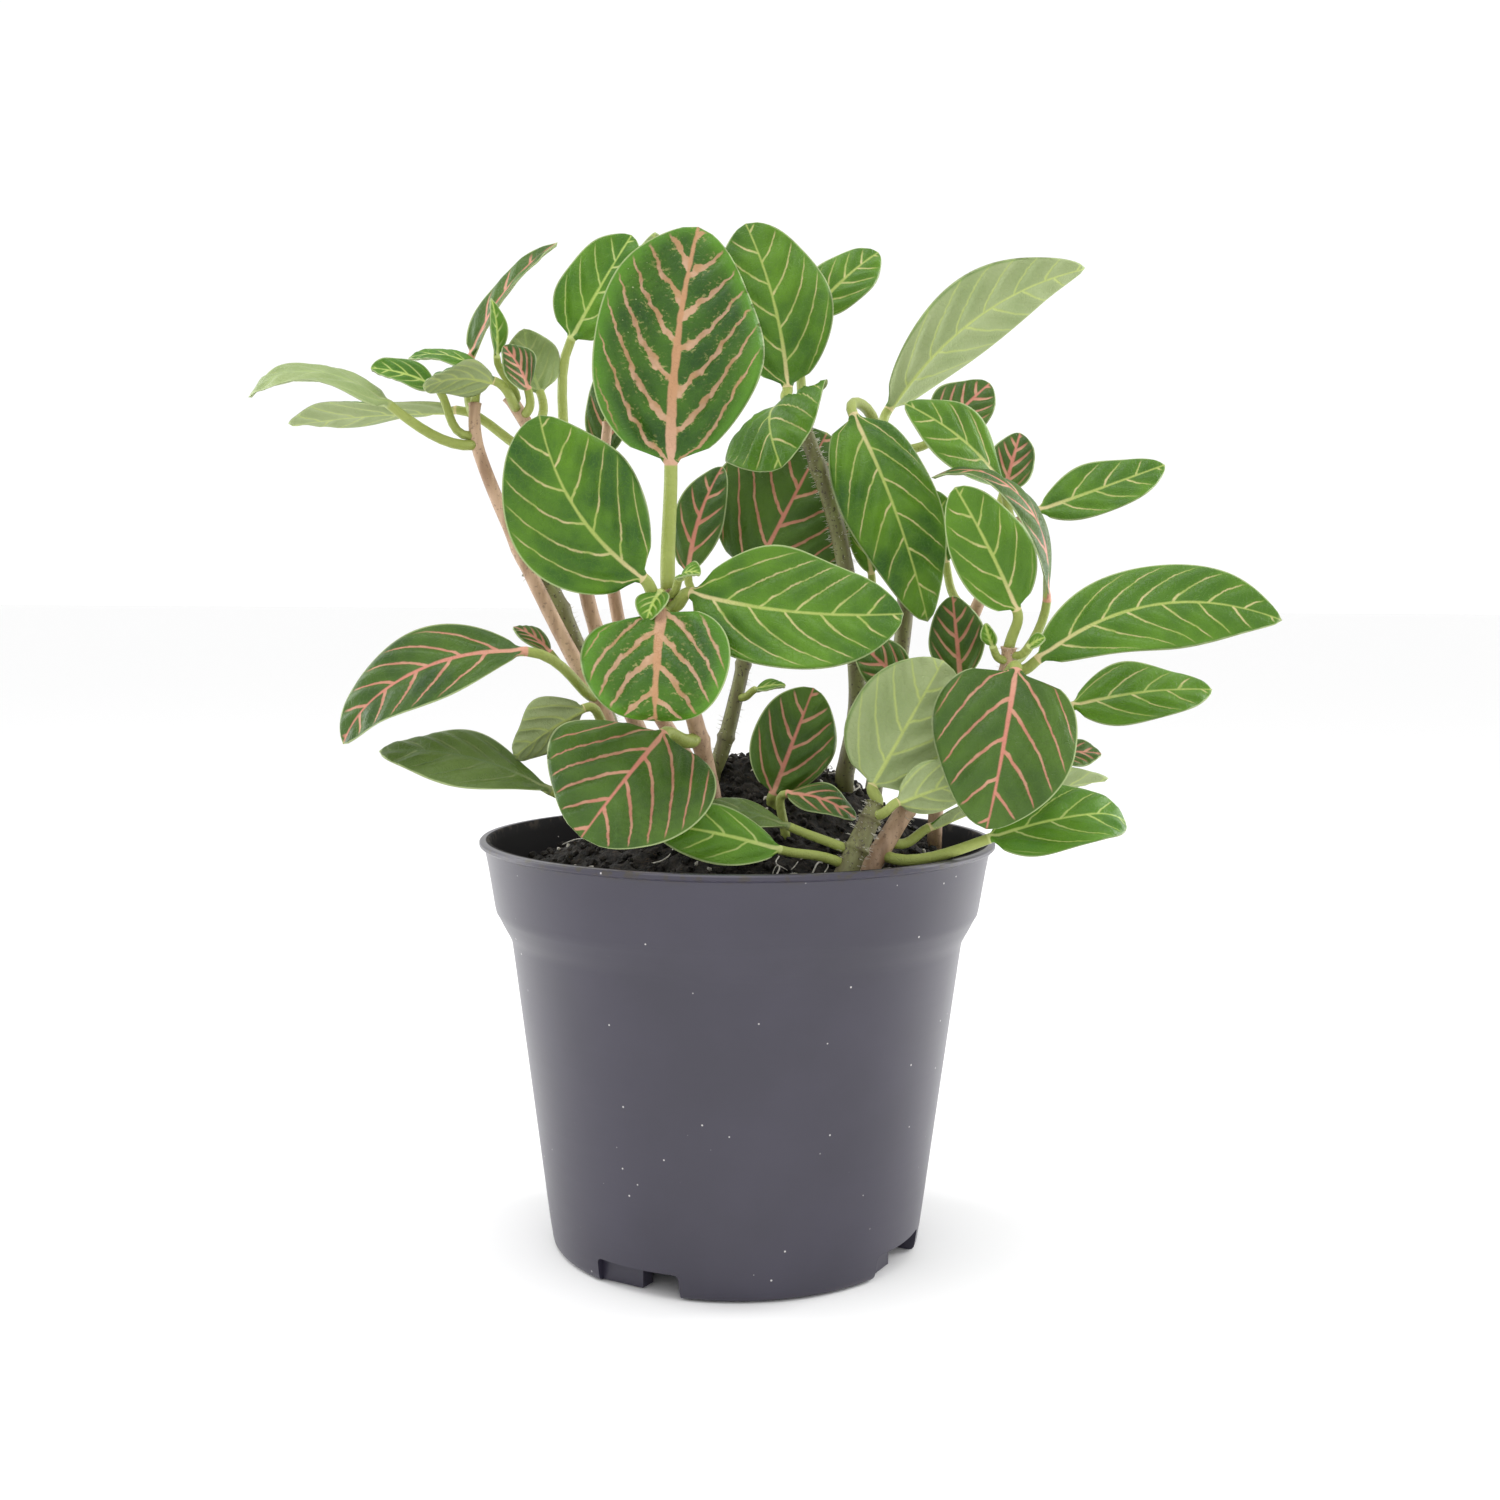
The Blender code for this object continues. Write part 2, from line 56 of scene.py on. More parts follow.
# %% Sizes
MM = 0.001
GAP = 0.3
AXIS_X = -3.006
POT_HEIGHT, RIM_R, WALL = 95.4, 60.0, 1.3
BASE_R, FOLD_Z, FOLD_R = 43.3, 72.8, 52.7
BAND_Z, BAND_R, BAND_TOP_R = 79.2, 56.4, 58.8
FLOOR_Z, FOOT_INNER_R = 6.0, 36.0
SOIL_EDGE_Z = 87.0
MOUND = (8.0, 14.0, 27.0, 30.0, 26.0)


def wall_inner_radius(z):
    """Radius of the inside of the pot at height z, between floor and lip."""
    points = ((FLOOR_Z, BASE_R - WALL + 0.6), (FOLD_Z, FOLD_R - WALL),
              (BAND_Z, BAND_R - WALL), (POT_HEIGHT, BAND_TOP_R - WALL))
    for (z0, r0), (z1, r1) in zip(points, points[1:]):
        if z <= z1:
            return r0 + (r1 - r0) * (z - z0) / (z1 - z0)
    return points[-1][1]


def soil_height(x, y):
    """Height of the peat: level at the wall, heaped up behind the middle."""
    cx, cy, rise, wide, deep = MOUND
    bump = math.exp(-((x - cx) ** 2) / (2 * wide ** 2) - ((y - cy) ** 2) / (2 * deep ** 2))
    reach = min(1.0, math.hypot(x, y) / 56.0)
    return SOIL_EDGE_Z + rise * bump * (1 - reach ** 4)


print("peat at the wall and at the mound:", SOIL_EDGE_Z, round(soil_height(*MOUND[:2]), 1))

# %% [markdown]
# ## Stems as curves
# A stem leans, bends at its joints and gets thinner towards the top.  It could be a
# Blender curve with a bevel, but the leaves have to find their place on it, so it is
# a smooth line through a few points that can be asked for its centre, its heading
# and its radius.  Each row has the finish, the radius at the foot and at the top,
# and the points, of which the first is only the place in the peat.

# %% Stem table
STEMS = {
    "stem_crown": ("tan", 2.0, 1.7, ((-4, -20, 0), (-8, -28, 119), (-14, -36, 142),
        (-15, -37, 153))),
    "stem_middle": ("olive", 2.0, 1.5, ((-6, 2, 0), (-3, 1, 118), (1, 3, 135), (3, 6, 149))),
    "stem_tall": ("olive", 2.3, 1.6, ((25, 4, 0), (28, 3, 129), (24, 1, 162),
        (16, 0, 187), (11, 0, 196))),
    "stem_right": ("tan", 2.4, 1.5, ((28, -31, 0), (34, -29, 101), (42, -26, 113),
        (57, -25, 132), (59, -26, 141))),
    "stem_front": ("olive", 2.6, 2.1, ((22, -39, 0), (27, -36, 101), (30, -34, 107))),
    "stem_left": ("tan", 2.3, 1.3, ((-24, -5, 0), (-28, -3, 114), (-33, 0, 128),
        (-39, 0, 138), (-50, 0, 160), (-60, 0, 184),
        (-61, 0, 196))),
    "stem_cut": ("olive", 2.2, 2.0, ((-25, 9, 0), (-31, 8, 122), (-37, 8, 136),
        (-44, 8, 152), (-50, 7, 158))),
    "stem_far_left": ("tan", 2.0, 1.5, ((-18, 18, 0), (-29, 15, 130), (-35, 13, 146),
        (-41, 10, 172), (-48, 6, 188), (-54, 5, 198))),
    "stem_behind": ("tan", 2.0, 1.2, ((-10, 26, 0), (-24, 24, 130), (-30, 23, 148),
        (-33, 22, 178), (-32, 22, 194))),
    "stem_back_right": ("olive", 2.2, 1.5, ((33, 22, 0), (40, 21, 141), (40, 19, 168),
        (34, 14, 187), (32, 13, 193))),
    "stem_side": ("tan", 1.8, 1.2, ((47, 7, 0), (49, 5, 128), (56, 3, 150),
        (63, 4, 164), (66, 5, 170))),
}


def curve_point(points, t):
    """Catmull-Rom point at t in 0..1 along a list of points."""
    spans = len(points) - 1
    span = min(int(t * spans), spans - 1)
    f = t * spans - span
    p = [points[max(0, min(spans, span + k))] for k in (-1, 0, 1, 2)]
    return 0.5 * ((2 * p[1]) + (p[2] - p[0]) * f + (2 * p[0] - 5 * p[1] + 4 * p[2] - p[3]) * f ** 2
                  + (3 * p[1] - p[0] - 3 * p[2] + p[3]) * f ** 3)


class Stem:
    """A stem's smooth line and its radius along it."""

    def __init__(self, row):
        """Read the row and stand the foot on the peat."""
        self.slot, self.foot, self.top, points = row
        x, y, _ = points[0]
        self.points = [Vector((x, y, soil_height(x, y) + 1.2))] + [Vector(p) for p in points[1:]]

    def centre(self, t):
        """Point at t, from 0 at the peat to 1 at the top."""
        return curve_point(self.points, t)

    def axis(self, t):
        """Heading at t."""
        return (self.centre(min(1, t + 0.01)) - self.centre(max(0, t - 0.01))).normalized()

    def radius(self, t):
        """Radius at t."""
        return self.foot + (self.top - self.foot) * t

    def at_height(self, z):
        """The t at which the stem reaches height z."""
        low, high = 0.0, 1.0
        for _ in range(24):
            mid = (low + high) / 2
            low, high = (mid, high) if self.centre(mid).z < z else (low, mid)
        return low


stems = {name: Stem(row) for name, row in STEMS.items()}
print(len(stems), "stems")

# %% [markdown]
# ## Leaves as numbers
# No two leaves are alike, but all have a stalk and one blade, so a leaf is a row of
# numbers and one function builds them all.  A row has the finish, the stem, the height
# on the stem ("top" is its tip), where the blade starts and ends, its width, the way
# its upper face looks, how far it arches and sways, how far its sides lift, and two
# numbers for the outline: where it is widest and how full it is.

# %% Leaf table
LEAVES = {
    # the four crossed leaves of the front crown
    "leaf_crown_up": ("pink", "stem_crown", "top", (-14.5, -36, 179), (-9, -31, 229), 36,
        (0, -1, 0.1), 2, -1.5, 0.10, 0.88, 0.6),
    "leaf_crown_left": ("cream", "stem_crown", 150, (-20, -41, 155), (-41, -46, 188), 29,
        (-0.2, -1, 0.3), 2, -4, 0.12, 0.95, 0.6),
    "leaf_crown_right": ("cream", "stem_crown", 149, (-10, -42, 152), (34, -46, 148), 27,
        (0.1, -1, 0.35), 3, 3, 0.08, 0.9, 0.6),
    "leaf_crown_low": ("pink", "stem_crown", 146, (-16, -44, 148), (-17, -58, 123), 30,
        (0, -0.9, 0.6), 4, 0, 0.05, 0.9, 0.5),
    "leaf_round": ("pink", "stem_crown", 121, (-16, -38, 122), (-32, -53, 102), 36,
        (0.1, -0.8, 0.6), 3, -0.5, 0.04, 0.8, 0.5),
    # left side, low
    "leaf_left_long": ("pink", "stem_left", 128, (-47, -20, 139), (-88, -30, 119), 20,
        (-0.1, -0.7, 0.7), 5, 4, 0.05, 0.95, 0.7),
    "leaf_left_low": ("pink", "stem_left", 109, (-42, -19, 108), (-79, -24, 117), 19,
        (0.1, -0.6, 1), 4, 0, -0.08, 1.1, 0.65),
    "leaf_left_pale": ("cream", "stem_left", 121, (-35, -12, 126), (-50, -20, 116), 16,
        (-0.3, 0.75, 0.6), 1, 0, 0.1, 1.0, 0.55),
    # left side, high
    "leaf_reach_left": ("cream", "stem_left", 186, (-79, -9, 194), (-111, -14, 196), 18,
        (0, -0.42, 1), 6, 0, -0.05, 0.75, 0.8),
    "leaf_pale_left": ("cream", "stem_far_left", 186, (-67, 11, 195), (-108, 16, 192), 17,
        (0, 0.22, 1), 1, 0, 0.05, 1.05, 0.7),
    "leaf_left_bright": ("young", "stem_left", 188, (-70, -2, 199), (-83, -9, 202), 10,
        (-0.1, -0.8, 0.7), 1, 0, 0.15, 0.9, 0.6),
    "leaf_left_sliver": ("young", "stem_left", "top", (-61, 5, 204), (-77, 4, 206), 10,
        (0, -0.5, 1), 2, 0, 0.0, 0.9, 0.7),
    "leaf_left_striped": ("cream", "stem_far_left", 195, (-56, -4, 200), (-71, -11, 198), 14,
        (-0.1, 0.5, 1), 2, 0, -0.15, 0.9, 0.55),
    "leaf_left_blade": ("pink", "stem_left", 193, (-63, 8, 207), (-43, 11, 234), 11,
        (-0.9, -0.7, 0.5), 3, 0, 0.25, 0.8, 0.8),
    "leaf_left_upright": ("young", "stem_far_left", 196, (-56, 1, 206), (-57, -1, 219), 5,
        (0.8, -0.8, 0.1), 1, 0, 0.3, 0.9, 0.8),
    "leaf_left_cup": ("young", "stem_far_left", 190, (-47, 9, 199), (-51, 11, 214), 14,
        (0.3, -1, 0.2), -2, 0, 0.3, 0.9, 0.6),
    "leaf_left_pink": ("pink", "stem_far_left", 193, (-49, 1, 199), (-54, -3, 208), 11,
        (0.5, -0.8, 0.6), 1, 0, 0.1, 0.9, 0.6),
    # behind the crown
    "leaf_lit": ("young", "stem_far_left", 180, (-40, 13, 212), (-26, 17, 237), 19,
        (-0.1, -1, 0.1), 1, 0, 0.1, 0.85, 0.6),
    "leaf_back_tip": ("cream", "stem_behind", "top", (-21, 26, 222), (-21, 28, 240), 12,
        (0, 1, -0.1), 1, 0, 0.05, 0.9, 0.75),
    "leaf_back_dark": ("pink", "stem_behind", 180, (-33, 27, 186), (-30, 28, 210), 13,
        (-0.3, -1, 0.1), 1, 0, 0.1, 0.9, 0.7),
    "leaf_tall": ("cream", "stem_tall", "top", (11, 4, 200), (1, 8, 238), 26,
        (0.1, -1, 0.1), 2, 1.5, 0.08, 0.95, 0.58),
    "leaf_tall_back": ("cream", "stem_tall", 194, (17, 16, 219), (33, 20, 234), 14,
        (0.2, -0.8, 0.6), 2, 0, 0.0, 0.9, 0.6),
    "leaf_tall_front": ("cream", "stem_tall", 193, (10, -6, 195), (9, -28, 179), 30,
        (-0.6, -0.3, 0.75), 5, 0, -0.1, 0.8, 0.6),
    "leaf_wide_dark": ("pink", "stem_middle", "top", (3, 11, 156), (21, 18, 191), 36,
        (0.1, -1, 0.2), 2, 0, 0.05, 0.9, 0.55),
    "leaf_wide_left": ("pink", "stem_middle", 145, (-12, 5, 157), (-4, 8, 182), 12,
        (-0.2, -1, 0.2), 2, -1, 0.0, 0.9, 0.6),
    # right side, high
    "leaf_drooping": ("cream", "stem_back_right", "top", (26, -2, 193), (43, -9, 146), 23,
        (0.15, -1, 0.25), 5, 0, -0.1, 0.7, 0.6),
    "leaf_big_pale": ("cream", "stem_back_right", 191, (36, 22, 197), (85, 32, 233), 21,
        (-0.25, 0.85, 0.65), 2, 6, 0.08, 0.8, 0.7),
    "leaf_right_bright": ("cream", "stem_side", "top", (70, 5, 172), (100, 7, 183), 14,
        (-0.1, -1, 0.5), 2, 1, 0.03, 0.95, 0.65),
    "leaf_right_cream": ("cream", "stem_side", 168, (60, -3, 178), (37, -9, 195), 16,
        (0.1, -1, 0.6), 3, 0, 0.0, 0.95, 0.65),
    "leaf_right_back": ("pink", "stem_back_right", 185, (47, 16, 190), (60, 18, 203), 15,
        (-0.1, -1, 0.4), 1, 0, 0.05, 0.9, 0.6),
    "leaf_right_round": ("pink", "stem_side", 166, (63, 13, 177), (67, 15, 191), 11,
        (0, -1, 0.2), 1, 0, 0.05, 0.9, 0.6),
    "leaf_right_dark": ("cream", "stem_side", 148, (49, 9, 160), (46, 11, 177), 11,
        (-0.2, -1, 0.2), 1, 0, 0.0, 0.9, 0.6),
    "leaf_right_curled": ("pink", "stem_right", 137, (69, -15, 151), (41, -16, 182), 13,
        (0.6, -0.45, 0.65), 11, 0, -0.1, 0.9, 0.7),
    "leaf_node_up": ("cream", "stem_right", "top", (60, -29, 149), (46, -31, 175), 18,
        (0.1, -1, 0.15), 2, 0, 0.08, 0.9, 0.58),
    # right side, low
    "leaf_heart": ("pink", "stem_right", 133, (59, -36, 136), (52, -45, 102), 31,
        (0, -0.9, 0.35), 3, 0, 0.03, 0.68, 0.6),
    "leaf_right_long": ("cream", "stem_right", 136, (65, -27, 138), (117, -31, 147), 22,
        (0.05, -0.85, 0.6), 5, -6, -0.05, 1.0, 0.7),
    "leaf_right_mid": ("cream", "stem_right", 128, (76, -10, 127), (108, -10, 131), 18,
        (0.1, -0.8, 0.8), 2, 0, 0.0, 0.9, 0.65),
    "leaf_right_small": ("pink", "stem_side", 118, (70, 4, 114), (86, 4, 115), 13,
        (0.1, -0.5, 1), 1, 0, 0.0, 0.9, 0.65),
    "leaf_right_edge": ("cream", "stem_right", 99, (42, -26, 101), (84, -14, 111), 15,
        (-0.1, 0.55, 1), 2, 0, 0.15, 1.0, 0.75),
    "leaf_over_rim": ("young", "stem_right", 96, (54, -36, 100), (85, -36, 106), 21,
        (0.2, -0.7, 1), 2, 0, 0.05, 1.0, 0.55),
    "leaf_inner_pink": ("pink", "stem_side", 130, (51, -6, 133), (49, -5, 152), 13,
        (-0.1, -1, 0.1), 1, 0, 0.0, 0.9, 0.6),
    # low, over the soil
    "leaf_low_dark": ("pink", "soil", 0, (8, -14, 107), (17, -13, 131), 19,
        (0, -1, 0.25), 1, 0, 0.1, 1.0, 0.55),
    "leaf_low_pink": ("pink", "soil", 0, (11, -23, 108), (26, -27, 103), 10,
        (0.2, -0.6, 0.8), 2, 0, 0.0, 0.9, 0.6),
    "leaf_front_pale": ("cream", "stem_front", "top", (29, -34, 111), (44, -32, 138), 26,
        (0.2, 0.9, 0.1), 1, 0, 0.15, 0.9, 0.55),
    "leaf_front_low": ("cream", "stem_front", 105, (34, -38, 108), (53, -38, 114), 13,
        (-0.2, 0.9, 0.4), 1, 0, 0.1, 0.9, 0.6),
    "leaf_folded": ("young", "stem_front", 94, (9, -41, 98), (-19, -44, 104), 13,
        (0, -0.9, 0.5), 2, 0, -0.1, 1.0, 0.6),
    "leaf_folded_dark": ("pink", "stem_front", 97, (11, -33, 102), (-14, -33, 106), 11,
        (0, -0.4, 1), 2, 0, -0.1, 1.0, 0.65),
}
# small leaves and bracts too slight to need a solid of their own
SMALL_LEAVES = {
    "small_left_tip": ("pink", "stem_cut", 134, (-45, 10, 138), (-54, 12, 144), 8,
        (0, -0.4, 1), 1, 0, 0.0, 0.9, 0.7),
    "small_slip": ("cream", "stem_tall", 148, (31, 4, 157), (28, 5, 174), 8,
        (0, -1, 0.1), 1, 0, 0.0, 0.9, 0.7),
    "small_inner_low": ("pink", "stem_tall", 124, (38, -11, 131), (26, -15, 142), 12,
        (0, -1, 0.4), 1, 0, 0.0, 0.9, 0.6),
    "bract_left": ("young", "stem_crown", 151, (-16.5, -41, 152), (-19, -47, 146), 7,
        (-0.3, -1, 0.4), 1, 0, 0.2, 0.9, 0.6),
    "bract_right": ("young", "stem_crown", 151.5, (-12.5, -41, 155), (-8, -45, 156), 6,
        (0, -0.8, 1), 1, 0, 0.2, 0.9, 0.6),
    "bract_cut": ("young", "stem_cut", 156, (-47, 4, 157), (-52, 3, 162), 4,
        (0.2, -0.9, 0.5), 0.5, 0, 0.2, 0.9, 0.6),
    "bract_middle": ("young", "stem_middle", 128, (4, -1, 130), (11, -2, 131), 5,
        (0, -0.5, 1), 0.5, 0, 0.1, 0.9, 0.6),
    "bract_node": ("young", "stem_right", 138, (55, -29, 141), (53, -31, 146), 3.5,
        (-0.5, -0.9, 0.5), 0.4, 0, 0.2, 0.9, 0.6),
    "bract_pair": ("young", "stem_right", 139, (63, -29, 141), (66, -31, 143), 4,
        (0, -0.9, 0.8), 0.4, 0, 0.2, 0.9, 0.6),
}
# leaves with a finish of their own: broad ragged veins, a dull face or a washed-out one
SPECIAL = {"leaf_crown_up": "feather", "leaf_crown_low": "feather",
           "leaf_left_low": "dull", "leaf_folded_dark": "dull",
           "leaf_reach_left": "pale", "leaf_left_cup": "pale"}
# how far the tip rolls under
CURLED = {"leaf_crown_low": 7, "leaf_heart": 2, "leaf_left_long": 3, "leaf_right_curled": 4,
          "leaf_over_rim": 3, "leaf_reach_left": 2}
print(len(LEAVES), "leaves and", len(SMALL_LEAVES), "small ones")

# %% [markdown]
# ## Helpers for materials
# A material is a small program of nodes.  Each could be wired by hand in the editor,
# which is hard to read back, so a few helpers do one thing each: `times`, `plus` and
# `minus` do a sum, `fade` turns a number into a mask and `mix` blends two colours by
# a mask.  `plug` takes either another node's output or a plain value, and new nodes
# join the tree of the outputs that they are given.


# %% Sums, masks and blends
def start_material(name, roughness):
    """A new node material: the material, its node tree and its shader."""
    mat = bpy.data.materials.new(name)
    mat.use_nodes = True
    tree = mat.node_tree
    shader = tree.nodes["Principled BSDF"]
    shader.inputs["Roughness"].default_value = roughness
    return mat, tree, shader


def is_socket(value):
    """True for another node's output."""
    return isinstance(value, bpy.types.NodeSocket)


def add_node(kind, *values):
    """A new node in the tree that the values come from."""
    return next(value.id_data for value in values if is_socket(value)).nodes.new(kind)


def plug(socket, value):
    """Link a socket or set a plain number or colour."""
    if is_socket(value):
        socket.id_data.links.new(value, socket)
    elif isinstance(value, tuple):
        socket.default_value = (*value, 1.0)
    else:
        socket.default_value = value


def math_node(operation, *values):
    """One sum, as a Math node."""
    node = add_node("ShaderNodeMath", *values)
    node.operation = operation
    for socket, value in zip(node.inputs, values):
        plug(socket, value)
    return node.outputs[0]


def times(first, second):
    """The product of two values."""
    return math_node("MULTIPLY", first, second)


def plus(first, second):
    """The sum of two values."""
    return math_node("ADD", first, second)


def minus(first, second):
    """The first value less the second."""
    return math_node("SUBTRACT", first, second)


def fade(value, low, high):
    """0 when value is at low, 1 at high, smooth between; low may be the larger."""
    node = add_node("ShaderNodeMapRange", value)
    node.interpolation_type = "SMOOTHSTEP"
    for socket, number in zip(node.inputs[:5], (value, low, high, 0.0, 1.0)):
        plug(socket, number)
    return node.outputs[0]


def mix(mask, first, second):
    """The first colour where mask is 0 and the second where it is 1."""
    node = add_node("ShaderNodeMix", mask, first, second)
    node.data_type = "RGBA"
    plug(node.inputs["Factor"], mask)
    plug(node.inputs[6], first)
    plug(node.inputs[7], second)
    return node.outputs[2]


# %% [markdown]
# ## Helpers for patterns
# Peat, plastic and leaves are never one colour.  A picture could give the speckle, but
# noise in the piece's own coordinates needs no file and has no seam.  `spread` squeezes
# or stretches the noise, as in the streaks along a stem.


# %% Noise, cells and bumps
def own_place(tree):
    """The place of a point in its piece's own coordinates."""
    return tree.nodes.new("ShaderNodeTexCoord").outputs["Object"]


def noise_node(tree, scale, detail=3.0, spread=None):
    """Soft noise from 0 to 1."""
    place = own_place(tree)
    if spread:
        mapping = tree.nodes.new("ShaderNodeMapping")
        mapping.inputs["Scale"].default_value = spread
        tree.links.new(place, mapping.inputs["Vector"])
        place = mapping.outputs[0]
    node = tree.nodes.new("ShaderNodeTexNoise")
    node.inputs["Scale"].default_value = scale
    node.inputs["Detail"].default_value = detail
    tree.links.new(place, node.inputs["Vector"])
    return node.outputs["Fac"]


def cells(tree, scale, feature="F1"):
    """Distance to the middle of the nearest cell, or to its wall."""
    node = tree.nodes.new("ShaderNodeTexVoronoi")
    node.feature = feature
    node.inputs["Scale"].default_value = scale
    tree.links.new(own_place(tree), node.inputs["Vector"])
    return node.outputs["Distance"]


def bump(tree, shader, height, strength, distance):
    """Roughen the shading where height changes."""
    node = tree.nodes.new("ShaderNodeBump")
    node.inputs["Strength"].default_value = strength
    node.inputs["Distance"].default_value = distance
    tree.links.new(height, node.inputs["Height"])
    tree.links.new(node.outputs[0], shader.inputs["Normal"])


# %% [markdown]
# ## Where the veins run
# A nerve plant is known by its veins: a midrib, side veins that sweep towards the tip
# and a fine net between them.  They could be thin strips of mesh, which would be heavy
# and stiff.  Here each leaf's mesh carries a few numbers at each point and the finish
# draws the veins from them: `along` the blade, `lat` across it, `edge` in from the
# margin, `phase`, which is a whole number at each side vein, and `pitch` between them.

# %% Vein masks
# side veins on the two halves of a leaf are staggered by this share of their spacing
VEIN_STAGGER = 0.3


def attribute(tree, name):
    """A number that the mesh carries at each point."""
    node = tree.nodes.new("ShaderNodeAttribute")
    node.attribute_name = name
    return node.outputs["Fac"]


def side_vein_gap(tree, lat, share, wobble, width, ragged):
    """Distance from the side of the nearest side vein, below 0 on the vein."""
    second_half = math_node("GREATER_THAN", lat, 0.0)
    count = plus(attribute(tree, "phase"), times(second_half, VEIN_STAGGER))
    off = math_node("PINGPONG", plus(count, wobble), 0.5)
    # side veins thin out from the midrib to the margin
    thinned = minus(1.45 + 2.2 * ragged, times(share, 1.25 + 2.3 * ragged))
    return minus(times(off, attribute(tree, "pitch")), times(thinned, width))


def midrib_mask(tree, along, away, wobble, width, ragged):
    """1 on the midrib, which tapers from the base to the tip."""
    taper = minus(1.0, times(along, 0.8))
    beside = minus(away, times(taper, 0.3 + 1.2 * width + ragged))
    return fade(plus(beside, times(wobble, 1.5)), 0.25, -0.2)


# %% [markdown]
# ## Leaf finish
# The upper face is a cloudy green, fresher beside the veins, with a net of fine veins.
# The underside is pale grey-green with yellow-green ribs, and the stalk is olive.  Six
# finishes share one recipe, so one function takes the colours, the width of the veins,
# how `ragged` they are and, for the feathered leaves, a lime `rim`.

# %% Leaf colours
UNDER_DARK, UNDER_LIGHT = (0.22, 0.30, 0.11), (0.40, 0.46, 0.24)
UNDER_RIB, UNDER_NET = (0.45, 0.53, 0.16), (0.33, 0.42, 0.14)
MARGIN, FLECK = (0.40, 0.48, 0.22), (0.36, 0.34, 0.12)
STALK_DARK, STALK_LIGHT = (0.24, 0.29, 0.05), (0.38, 0.44, 0.13)


def leaf_material(name, deep, fresh, vein, rib, width, ragged=0.0, rim=None):
    """One leaf finish; width is the half width of a side vein in millimetres."""
    mat, tree, shader = start_material(name, 0.42)
    along, lat, edge, under, tint = (
        attribute(tree, key) for key in ("along", "lat", "edge", "under", "tint"))
    away = math_node("ABSOLUTE", lat)
    share = math_node("DIVIDE", away, plus(plus(away, edge), 0.1))
    shake = minus(noise_node(tree, 300.0, 5.0), 0.5)
    wobble = times(shake, 0.22 + 0.75 * ragged)
    gap = side_vein_gap(tree, lat, share, wobble, width, ragged)
    side_vein = times(fade(gap, 0.2, -0.08), fade(edge, 0.3, 2.2))
    midrib = midrib_mask(tree, along, away, wobble, width, ragged)
    cloud = noise_node(tree, 90.0, 3.0)
    net = fade(cells(tree, 900.0, "DISTANCE_TO_EDGE"), 0.09, 0.0)

    # upper face
    green = mix(fade(cloud, 0.3, 0.75), deep, fresh)
    for mask, strength in ((tint, 0.55), (fade(gap, 1.3, 0.0), 0.35), (net, 0.28)):
        green = mix(times(mask, strength), green, fresh)
    if rim:
        green = mix(times(fade(edge, 5.0, 0.5), 0.45), green, rim)
    if ragged:
        fleck = fade(noise_node(tree, 900.0, 5.0, (1, 1, 1.8)), 0.55, 0.66)
        beside = times(fade(gap, 1.8, 0.1), fade(share, 0.95, 0.35))
        green = mix(times(times(fleck, beside), 0.8), green, FLECK)
    blend = mix(fade(noise_node(tree, 300.0), 0.35, 0.65), vein, rib)
    top = mix(times(side_vein, 0.85), green, blend)
    top = mix(midrib, top, mix(fade(along, 0.0, 0.35), rib, vein))

    # underside, margin and stalk
    ribs = math_node("MAXIMUM", fade(gap, 0.35, -0.25), midrib)
    back = mix(ribs, mix(cloud, UNDER_DARK, UNDER_LIGHT), UNDER_RIB)
    back = mix(times(net, 0.25), back, UNDER_NET)
    colour = mix(under, top, back)
    colour = mix(times(fade(edge, 0.45, 0.15), 0.8), colour, MARGIN)
    stalk = mix(cloud, STALK_DARK, STALK_LIGHT)
    colour = mix(fade(along, 0.0, -0.02), colour, stalk)
    plug(shader.inputs["Base Color"], colour)

    # a soft shine on the upper face, duller below, and a relief of veins
    rough = plus(times(cloud, 0.18), 0.34)
    plug(shader.inputs["Roughness"], plus(rough, times(under, 0.2)))
    shader.inputs["Specular IOR Level"].default_value = 0.32
    pores = times(noise_node(tree, 1500.0, 2.0), 0.35)
    veins = math_node("MAXIMUM", side_vein, net)
    bump(tree, shader, minus(pores, veins), 0.35, 0.0003)
    return mat


# %% [markdown]
# ## Six leaf finishes
# Upper leaves have thin cream veins on fresh green, and older ones pink veins on dark
# green.  The youngest are lime.  The two feathered leaves have broad ragged veins.
# Linear colours are given as deep green, fresh green, vein and midrib.

# %% Make the leaf finishes
leaf_looks = {
    "cream": leaf_material("leaf_cream", (0.020, 0.084, 0.004), (0.100, 0.230, 0.008),
                           (0.36, 0.44, 0.10), (0.62, 0.52, 0.26), 0.13),
    "pink": leaf_material("leaf_pink", (0.018, 0.056, 0.007), (0.072, 0.150, 0.013),
                          (0.56, 0.21, 0.15), (0.64, 0.32, 0.22), 0.24),
    "pale": leaf_material("leaf_pale", (0.15, 0.23, 0.06), (0.30, 0.38, 0.15),
                          (0.30, 0.40, 0.12), (0.36, 0.42, 0.16), 0.10),
    "dull": leaf_material("leaf_dull", (0.040, 0.085, 0.012), (0.100, 0.160, 0.030),
                          (0.10, 0.16, 0.05), (0.20, 0.24, 0.09), 0.12),
    "young": leaf_material("leaf_young", (0.034, 0.128, 0.005), (0.105, 0.245, 0.010),
                           (0.42, 0.54, 0.12), (0.50, 0.56, 0.20), 0.12),
    "feather": leaf_material("leaf_feather", (0.012, 0.056, 0.004), (0.060, 0.160, 0.006),
                             (0.48, 0.26, 0.13), (0.60, 0.36, 0.24), 0.27, 0.55,
                             (0.13, 0.34, 0.02)),
}
print("leaf finishes:", ", ".join(leaf_looks))

